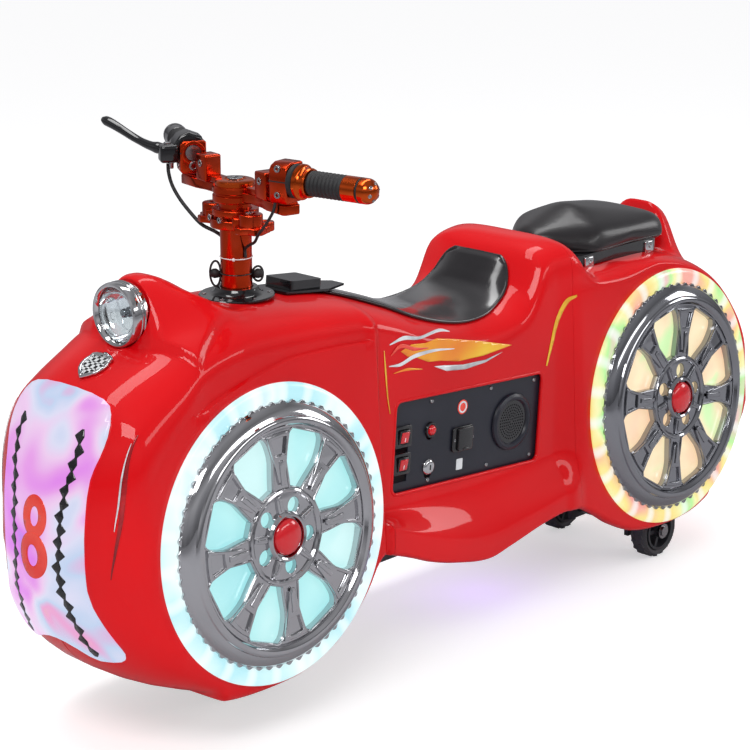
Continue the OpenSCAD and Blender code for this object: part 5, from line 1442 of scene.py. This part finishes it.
class RIDE_OT_decals(Operator):
    """Lays the films on the body: the printed flame flash and gold bands, and beside the nose a dark red band
    with a silver line on it, which is painted shade and a painted highlight along the crease
    """
    bl_idname = "ride.decals"
    bl_label = "Lay the printed films"

    def execute(self, context):
        def ribbon(path, widths):
            p = np.array(path, float)
            t = np.linspace(0, len(p) - 1, 26)
            c = np.stack([curve(t, list(enumerate(p[:, k]))) for k in (0, 1)], 1)
            w = np.interp(t, np.linspace(0, len(p) - 1, len(widths)), widths)[:, None] / 2
            d = np.gradient(c, axis=0)
            n = np.stack([-d[:, 1], d[:, 0]], 1) / np.linalg.norm(d, axis=1, keepdims=True)
            return [tuple(q) for q in c + n * w] + [tuple(q) for q in (c - n * w)[::-1]]

        for side, label in ((1, "left"), (-1, "right")):
            s = on_side(side)

            def lay(name, loops, key, up, surface=s):
                return draped(name, loops, surface, key, up, 0.3, 6.0)

            parts = [lay("blade",
                         [[(-262, 188), (-284, 194), (-312, 190), (-336, 192), (-372, 184), (-420, 172),
                                 (-498, 150), (-436, 147), (-380, 150), (-346, 158), (-318, 162),
                                 (-296, 172), (-276, 178)]], "flame_film", 0.5),
                     lay("under",
                         [[(-330, 153), (-352, 150), (-390, 143), (-440, 140), (-478, 144), (-440, 136),
                                 (-396, 135), (-356, 141)]], "silver_film_and_painted_highlight", 0.5),
                     lay("top", [ribbon([(-240, 202), (-268, 206), (-300, 200), (-338, 203), (-362, 197)],
                                 [1.5, 6, 4, 5, 1])], "silver_film_and_painted_highlight", 0.5),
                     lay("lick",
                         [ribbon([(-242, 186), (-262, 196), (-290, 186), (-318, 182)], [1.5, 6, 5, 1])],
                         "red_film", 0.9),
                     lay("lick",
                         [ribbon([(-238, 172), (-262, 170), (-290, 176), (-330, 176), (-372, 170)],
                                 [1, 5, 6, 4, 1])], "silver_film_and_painted_highlight", 0.9),
                     lay("lick", [ribbon([(-248, 160), (-276, 160), (-306, 154)], [1, 4, 1])],
                         "flame_film", 0.5),
                     lay("band",
                         [ribbon([(-638, 198), (-618, 192), (-600, 166), (-589, 134), (-578, 102)],
                                 [3, 8, 8, 7, 3])], "gold_film", 0.5),
                     lay("line",
                         [ribbon([(-229, 196), (-232, 166), (-236, 130), (-241, 104)], [1, 3, 2.4, 1])],
                         "gold_film", 0.5)]
            # Beside the nose: a dark red band of painted shade and a thin silver line of painted highlight
            # along the crease
            nose = with_normals(lambda y, z: np.stack([nose_x(y, z), side * y, z], 1))
            parts += [lay("painted_shade_and_highlight_strip",
                          [ribbon([(117, 177), (117, 150), (118, 115), (117, 80), (112, 40), (106, -3)],
                                  [0.8, 3, 5, 4, 3, 0.8])], "painted_shade_film", 0.4, nose),
                      lay("painted_shade_and_highlight_strip",
                          [ribbon([(115, 168), (114.5, 130), (114, 95), (110, 60)],
                                  [0.6, 1.6, 1.8, 0.6])], "silver_film_and_painted_highlight", 0.8, nose)]
            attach(join("printed_films_and_painted_light_" + label, *parts), "chassis")
        return {"FINISHED"}


class RIDE_OT_seat(Operator):
    """Builds the padded rear seat: the CAD block blown up a little under its cover, with a piped seam"""
    bl_idname = "ride.seat"
    bl_label = "Build the rear seat"

    def execute(self, context):
        low, high = (Vector(c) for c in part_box("rear_seat"))
        middle = (low + high) / 2
        mesh = NODES["rear_seat"].data.copy()
        mesh.transform(NODES["rear_seat"].matrix_world)
        mesh.transform(Matrix.Translation(middle) @ Matrix.Diagonal((0.992, 0.975, 0.975, 1))
            @ Matrix.Translation(-middle))
        o = bpy.data.objects.new("padded_rear_seat", mesh)
        context.scene.collection.objects.link(o)
        mesh.materials.clear()
        m = o.modifiers.new("grid", "REMESH")
        m.mode, m.voxel_size = "VOXEL", 0.005
        bake(o)
        m = o.modifiers.new("even", "SMOOTH")
        m.factor, m.iterations = 0.5, 6
        bake(o)
        start = np.array([v.co for v in o.data.vertices])
        c = o.modifiers.new("cover", "CLOTH")
        c.settings.use_pressure, c.settings.uniform_pressure_force = True, 4.0
        c.settings.bending_stiffness = 8
        c.settings.effector_weights.gravity = 0
        c.settings.quality, c.settings.mass = 5, 0.3
        c.settings.tension_stiffness = c.settings.compression_stiffness = 25
        c.point_cache.frame_start, c.point_cache.frame_end = 1, 20
        for frame_number in range(1, 21):
            context.scene.frame_set(frame_number)
        moved = bpy.data.meshes.new_from_object(o.evaluated_get(context.evaluated_depsgraph_get()))
        o.modifiers.clear()
        end = np.array([v.co for v in moved.vertices])
        step_out = end - start
        length = np.linalg.norm(step_out, axis=1, keepdims=True)
        end = start + step_out * np.minimum(1, 0.006 / np.maximum(length, 1e-9))
        end[:, 2] = np.maximum(end[:, 2], low.z + 0.0002)
        for v, p in zip(o.data.vertices, end):
            v.co = p
        bpy.data.meshes.remove(moved)
        context.scene.frame_set(1)
        m = o.modifiers.new("taut", "SMOOTH")
        m.factor, m.iterations = 0.5, 26
        bake(o)
        # Nothing of the cushion reaches past the ends of its base
        for v in o.data.vertices:
            v.co.x = min(max(v.co.x, low.x), high.x)
        m = o.modifiers.new("fine", "SUBSURF")
        m.levels = m.render_levels = 1
        bake(o)
        o.data.materials.append(MATERIALS["seat"])
        o.data.shade_smooth()
        # A piped seam round the foot of the cushion
        context.view_layer.update()
        heart = Vector((middle.x, middle.y, low.z + 0.012))
        path = []
        for a in np.linspace(0, math.tau, 120, endpoint=False):
            hit, where, normal, _ = o.ray_cast(heart, Vector((math.cos(a), math.sin(a), 0)))
            if hit:
                path.append(tuple(where - normal * 0.0004))
        for _ in range(3):
            p = np.array(path)
            path = [tuple(q) for q in (np.roll(p, 1, 0) + 2 * p + np.roll(p, -1, 0)) / 4]
        parts = [o, tube("piping", path, 1.8, "seat", 8, True)]
        # The base under the cushion follows the deck, with a plated bracket at each end of each side
        ring = rounded_box((high.x - low.x) / MM - 14, (high.y - low.y) / MM - 12, 40, 12)
        rim = [(middle.x + x * MM, middle.y + y * MM) for x, y in ring]
        deck = [float(skin_z(np.array((x - FRONT_X) / MM), np.array(abs(y) / MM))) for x, y in rim]
        foot = [max(COVER_Z + (z + 1.5) * MM, low.z - 0.030) for z in deck]
        n = len(rim)
        pts = [(x, y, min(z, low.z)) for (x, y), z in zip(rim, foot)]
        pts += [(x, y, low.z + 0.010) for x, y in rim]
        faces = [(k, (k + 1) % n, n + (k + 1) % n, n + k) for k in range(n)]
        faces += [tuple(range(n))[::-1], tuple(range(n, 2 * n))]
        parts.append(mesh_object("base", pts, faces, "gloss_black", 40))
        for x in (low.x + 0.052, high.x - 0.052):
            for k in (-1, 1):
                y = k * ((high.y - low.y) / 2 - 0.005)
                parts.append(block("bracket", (20, 5, 19), Matrix.Translation((x, y, low.z - 0.003)),
                        "chrome", 1.8))
                parts.append(bolt("bracket_bolt", 3.6, 2.4,
                        Matrix.Translation((x, y + k * 0.002, low.z - 0.001)) @ turned(-90 * k, "X")))
        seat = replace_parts(join("padded_rear_seat", *parts), "rear_seat")
        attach(seat, "chassis")
        # Plated struts with round feet
        low, high = (Vector(c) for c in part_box("seat_struts"))
        feet = []
        for x in (low.x + 0.007, high.x - 0.007):
            for k in (-1, 1):
                y = k * 0.056
                foot = float(skin_z(np.array((x - FRONT_X) / MM), np.array(56.0)))
                top = (high.z - COVER_Z) / MM
                h = top - foot
                feet.append(lathe("strut",
                        [(0, 1), (10, 1), (10.4, 2.2), (9, 3.4), (7, 4.2), (6.6, 0.5 * h), (7, h - 3),
                            (7, h), (0, h)], "chrome", 40,
                        Matrix.Translation((x, y, COVER_Z + foot * MM)), 30))
        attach(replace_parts(join("plated_struts", *feet), "seat_struts"), "chassis")
        return {"FINISHED"}


class RIDE_OT_wheels(Operator):
    """Builds the treaded tyres of the front wheel and the two rear wheels and dresses their hubs"""
    bl_idname = "ride.wheels"
    bl_label = "Build the wheels"

    def execute(self, context):
        for kind, names, body in (("front", ("front_tyre", "front_hub"), "front_wheel"),
                ("rear", ("rear_tyre_left", "rear_hub_left"), "rear_wheel_left"),
                ("rear", ("rear_tyre_right", "rear_hub_right"), "rear_wheel_right")):
            low, high = (Vector(c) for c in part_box(names[0]))
            middle = (low + high) / 2
            if kind == "front":
                fork = Matrix.Translation((COLUMN_X, 0, 0.1)) @ Matrix.Rotation(PARKED_TURN, 4, "Z")
                place = fork @ turned(-90, "X")
                half, r, rim, blocks = 26.0, 100.0, 62.0, 26
            else:
                place = Matrix.Translation(middle) @ turned(-90, "X")
                half, r, rim, blocks = 16.0, 45.0, 31.0, 18
            w = half - 1
            tyre = lathe("tyre", [(rim, -w + 5), (rim + 3, -w + 1.5), (r * 0.86, -w), (r - 4, -w + 2.6),
                    (r - 1.4, -w + 6.5), (r - 1.0, 0), (r - 1.4, w - 6.5), (r - 4, w - 2.6),
                    (r * 0.86, w), (rim + 3, w - 1.5), (rim, w - 5), (rim, -w + 5)], "tyre", 64, place,
                45)
            parts = [tyre]
            for k in range(blocks):
                for s in (-1, 1):
                    a = math.tau * (k + 0.25 * s) / blocks
                    out = Matrix.Translation(((r - 1.8) * MM, 0, s * half * 0.42 * MM))
                    q = place @ Matrix.Rotation(a, 4, "Z") @ out @ Matrix.Rotation(s * 0.35, 4, "X")
                    parts.append(block("tread", (2.8, math.tau * r / blocks * 0.5, half * 0.5), q, "tyre",
                            0.6))
            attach(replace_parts(join("treaded_" + names[0], *parts), names[0]), body)
            dress(names[1], "hub")
        return {"FINISHED"}


# Routes of the two cables in the handlebar's own frame, in millimetres
CABLES = {
    "brake_cable": (2.5, [[22.4, -136.1, 724.2], [24, -132, 712], [27, -118, 698], [28, -98, 684],
            [26, -76, 670], [20, -54, 655], [8, -36, 646], [2, -24, 637], [2, -23.9, 625]]),
    "lamp_wire": (2.0, [[11, 116, 712.6], [14, 114, 700], [16, 100, 682], [14, 80, 666], [8, 60, 651],
            [2, 40, 643], [0, 23.4, 634], [0, 23.4, 622]]),
}


class RIDE_OT_cables(Operator):
    """Builds the brake cable and the thin wire along their routes from the handlebar"""
    bl_idname = "ride.cables"
    bl_label = "Build the cables"

    def execute(self, context):
        for node_name, (r, route) in CABLES.items():
            p = np.array(route, float)
            t = np.linspace(0, len(p) - 1, 6 * len(p))
            smooth = np.stack([curve(t, list(enumerate(p[:, k]))) for k in range(3)], 1)
            path = [tuple(steered() @ Vector(q * MM)) for q in smooth]
            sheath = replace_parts(join(node_name + "_sheath", tube("sheath", path, r, "rubber", 12)),
                node_name)
            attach(sheath, "handlebar")
        return {"FINISHED"}


PLAIN = {
    "control_panel": "panel", "service_panel": "panel", "display_base": "gloss_black",
    "display_box": "gloss_black",
    "chassis_frame": "frame", "battery_box": "panel", "rear_axle": "steel", "floor_lamp": "violet_lens",
    "fork": "frame",
}


class RIDE_OT_carried_over(Operator):
    """Gives every CAD solid that is shown as it is its surface"""
    bl_idname = "ride.carried_over"
    bl_label = "Dress the CAD solids"

    def execute(self, context):
        for name, key in PLAIN.items():
            dress(name, key)
        return {"FINISHED"}


class RIDE_OT_studio(Operator):
    """Sets up the pale floor, the soft lights and the camera"""
    bl_idname = "ride.studio"
    bl_label = "Set up the studio"

    def execute(self, context):
        s = context.scene.ride_studio
        scene = context.scene
        scene.view_settings.view_transform = "Standard"
        # Camera at the photograph's place: the middle of the front left ring is its reference
        ring = Vector((FRONT_X, POD_HALF_W, COVER_Z))
        az, el = math.radians(133.27), math.radians(16.217)
        right = Vector((math.cos(az), math.sin(az), 0))
        back = Vector((math.sin(az) * math.cos(el), -math.cos(az) * math.cos(el), math.sin(el)))
        up = back.cross(right)
        cam = bpy.data.objects.new("photo_camera", bpy.data.cameras.new("photo_camera"))
        cam.data.lens = s.lens_mm
        cam.data.sensor_width = 36.0
        cam.data.clip_end = 200
        cam.matrix_world = Matrix(((right.x, up.x, back.x, 0), (right.y, up.y, back.y, 0),
                (right.z, up.z, back.z, 0), (0, 0, 0, 1)))
        cam.location = ring + Vector((1.9586, 2.0209, 1.0324))
        scene.collection.objects.link(cam)
        scene.camera = cam
        # Floor: pale, keeps the shadow
        bpy.ops.mesh.primitive_plane_add(size=60, location=(0, 0, -0.0005))
        floor = context.object
        floor.name = "studio_floor"
        m, t = new_material("studio_floor")
        rays = node(t, "ShaderNodeLightPath")
        seen = node(t, "ShaderNodeMath",
            {0: rays.outputs["Is Camera Ray"], 1: rays.outputs["Is Transmission Ray"]},
            operation="MAXIMUM")
        grey = s.floor_grey
        dull = node(t, "ShaderNodeMix", {0: rays.outputs["Is Glossy Ray"], 6: (grey, grey, grey, 1),
                7: (0.46, 0.46, 0.48, 1)}, data_type="RGBA")
        matte = node(t, "ShaderNodeBsdfDiffuse", {"Color": dull.outputs[2]})
        raised = node(t, "ShaderNodeMath", {0: seen.outputs[0], 1: 0.50}, operation="MULTIPLY")
        glow = node(t, "ShaderNodeEmission", {"Color": (1, 1, 1, 1), "Strength": raised.outputs[0]})
        both = node(t, "ShaderNodeAddShader", {0: matte.outputs[0], 1: glow.outputs[0]})
        close_material(m, t, both)
        floor.data.materials.append(m)
        # World: white to the camera, with dark and light bands for the plated parts to mirror
        w = bpy.data.worlds.new("studio_world")
        scene.world = w
        w.use_nodes = True
        t = w.node_tree
        t.nodes.clear()
        rays = node(t, "ShaderNodeLightPath")
        seen = node(t, "ShaderNodeMath",
            {0: rays.outputs["Is Camera Ray"], 1: rays.outputs["Is Transmission Ray"]},
            operation="MAXIMUM")
        where = node(t, "ShaderNodeTexCoord")
        split = node(t, "ShaderNodeSeparateXYZ", {"Vector": where.outputs["Generated"]})
        room = ramp(t, node(t, "ShaderNodeMapRange",
                {"Value": split.outputs[2], "From Min": -1.0, "From Max": 1.0}).outputs[0],
            [(0.40, (0.16, 0.16, 0.17, 1)), (0.50, (0.05, 0.05, 0.06, 1)), (0.58, (0.22, 0.22, 0.24, 1)),
                (0.68, (0.42, 0.42, 0.44, 1)), (0.80, (0.12, 0.12, 0.13, 1)),
                (0.94, (0.34, 0.34, 0.36, 1))])
        drift = node(t, "ShaderNodeTexNoise",
            {"Vector": where.outputs["Generated"], "Scale": 2.2, "Detail": 1.0})
        mixed = node(t, "ShaderNodeMix", {0: 0.2, 6: room.outputs[0], 7: drift.outputs["Fac"]},
            data_type="RGBA")
        mirror = node(t, "ShaderNodeBackground", {"Color": mixed.outputs[2], "Strength": 1.0})
        soft = node(t, "ShaderNodeBackground", {"Color": (0.55, 0.55, 0.56, 1), "Strength": 1.0})
        white = node(t, "ShaderNodeBackground", {"Color": (1, 1, 1, 1), "Strength": 1.0})
        first = node(t, "ShaderNodeMixShader", {0: rays.outputs["Is Glossy Ray"], 1: soft.outputs[0],
                2: mirror.outputs[0]})
        final = node(t, "ShaderNodeMixShader", {0: seen.outputs[0], 1: first.outputs[0], 2: white.outputs[0]})
        node(t, "ShaderNodeOutputWorld", {"Surface": final.outputs[0]})

        def light(name, place, size, watts, aim=(0, 0, 0.35), tint=(1, 1, 1)):
            d = bpy.data.lights.new(name, "AREA")
            d.shape = "RECTANGLE"
            d.size, d.size_y = size
            d.energy = watts
            d.color = tint
            o = bpy.data.objects.new(name, d)
            o.location = place
            o.rotation_euler = (Vector(place) - Vector(aim)).to_track_quat("Z", "Y").to_euler()
            scene.collection.objects.link(o)

        light("key", (2.4, 1.4, 2.6), (1.6, 0.9), s.key_watts * 1.3)
        light("top_strip", (0.0, -0.5, 2.6), (3.0, 0.5), 26)
        light("side_strip", (-0.6, 2.8, 1.7), (2.4, 0.4), 12)
        light("tail_fill", (-2.8, 1.6, 1.4), (0.9, 0.9), 12)
        return {"FINISHED"}


OPERATORS = (RIDE_OT_surfaces, RIDE_OT_shell, RIDE_OT_covers, RIDE_OT_nose, RIDE_OT_headlamp, RIDE_OT_saddle,
             RIDE_OT_seat, RIDE_OT_controls, RIDE_OT_bars, RIDE_OT_column, RIDE_OT_cables, RIDE_OT_wheels,
             RIDE_OT_decals, RIDE_OT_carried_over, RIDE_OT_studio)


class RIDE_PT_sidebar(Panel):
    """Lists the operators of the bumper ride"""
    bl_label = "Bumper Ride"
    bl_idname = "RIDE_PT_sidebar"
    bl_space_type = "VIEW_3D"
    bl_region_type = "UI"
    bl_category = "Bumper Ride"

    def draw(self, context):
        for op in OPERATORS:
            self.layout.operator(op.bl_idname)
        for group in ("ride_sizes", "ride_colours", "ride_studio"):
            box = self.layout.box()
            settings = getattr(context.scene, group)
            for key in settings.__annotations__:
                box.prop(settings, key)


CLASSES = (RideSizes, RideColours, StudioSettings) + OPERATORS + (RIDE_PT_sidebar,)


def register():
    for c in CLASSES:
        bpy.utils.register_class(c)
    bpy.types.Scene.ride_sizes = PointerProperty(type=RideSizes)
    bpy.types.Scene.ride_colours = PointerProperty(type=RideColours)
    bpy.types.Scene.ride_studio = PointerProperty(type=StudioSettings)


def unregister():
    del bpy.types.Scene.ride_studio
    del bpy.types.Scene.ride_colours
    del bpy.types.Scene.ride_sizes
    for c in reversed(CLASSES):
        bpy.utils.unregister_class(c)


def main():
    register()
    for op in OPERATORS:
        group, name = op.bl_idname.split(".")
        result = getattr(getattr(bpy.ops, group), name)()
        if result != {"FINISHED"}:
            raise RuntimeError(f"{op.bl_idname} ended with {result}")


if __name__ == "__main__":
    main()
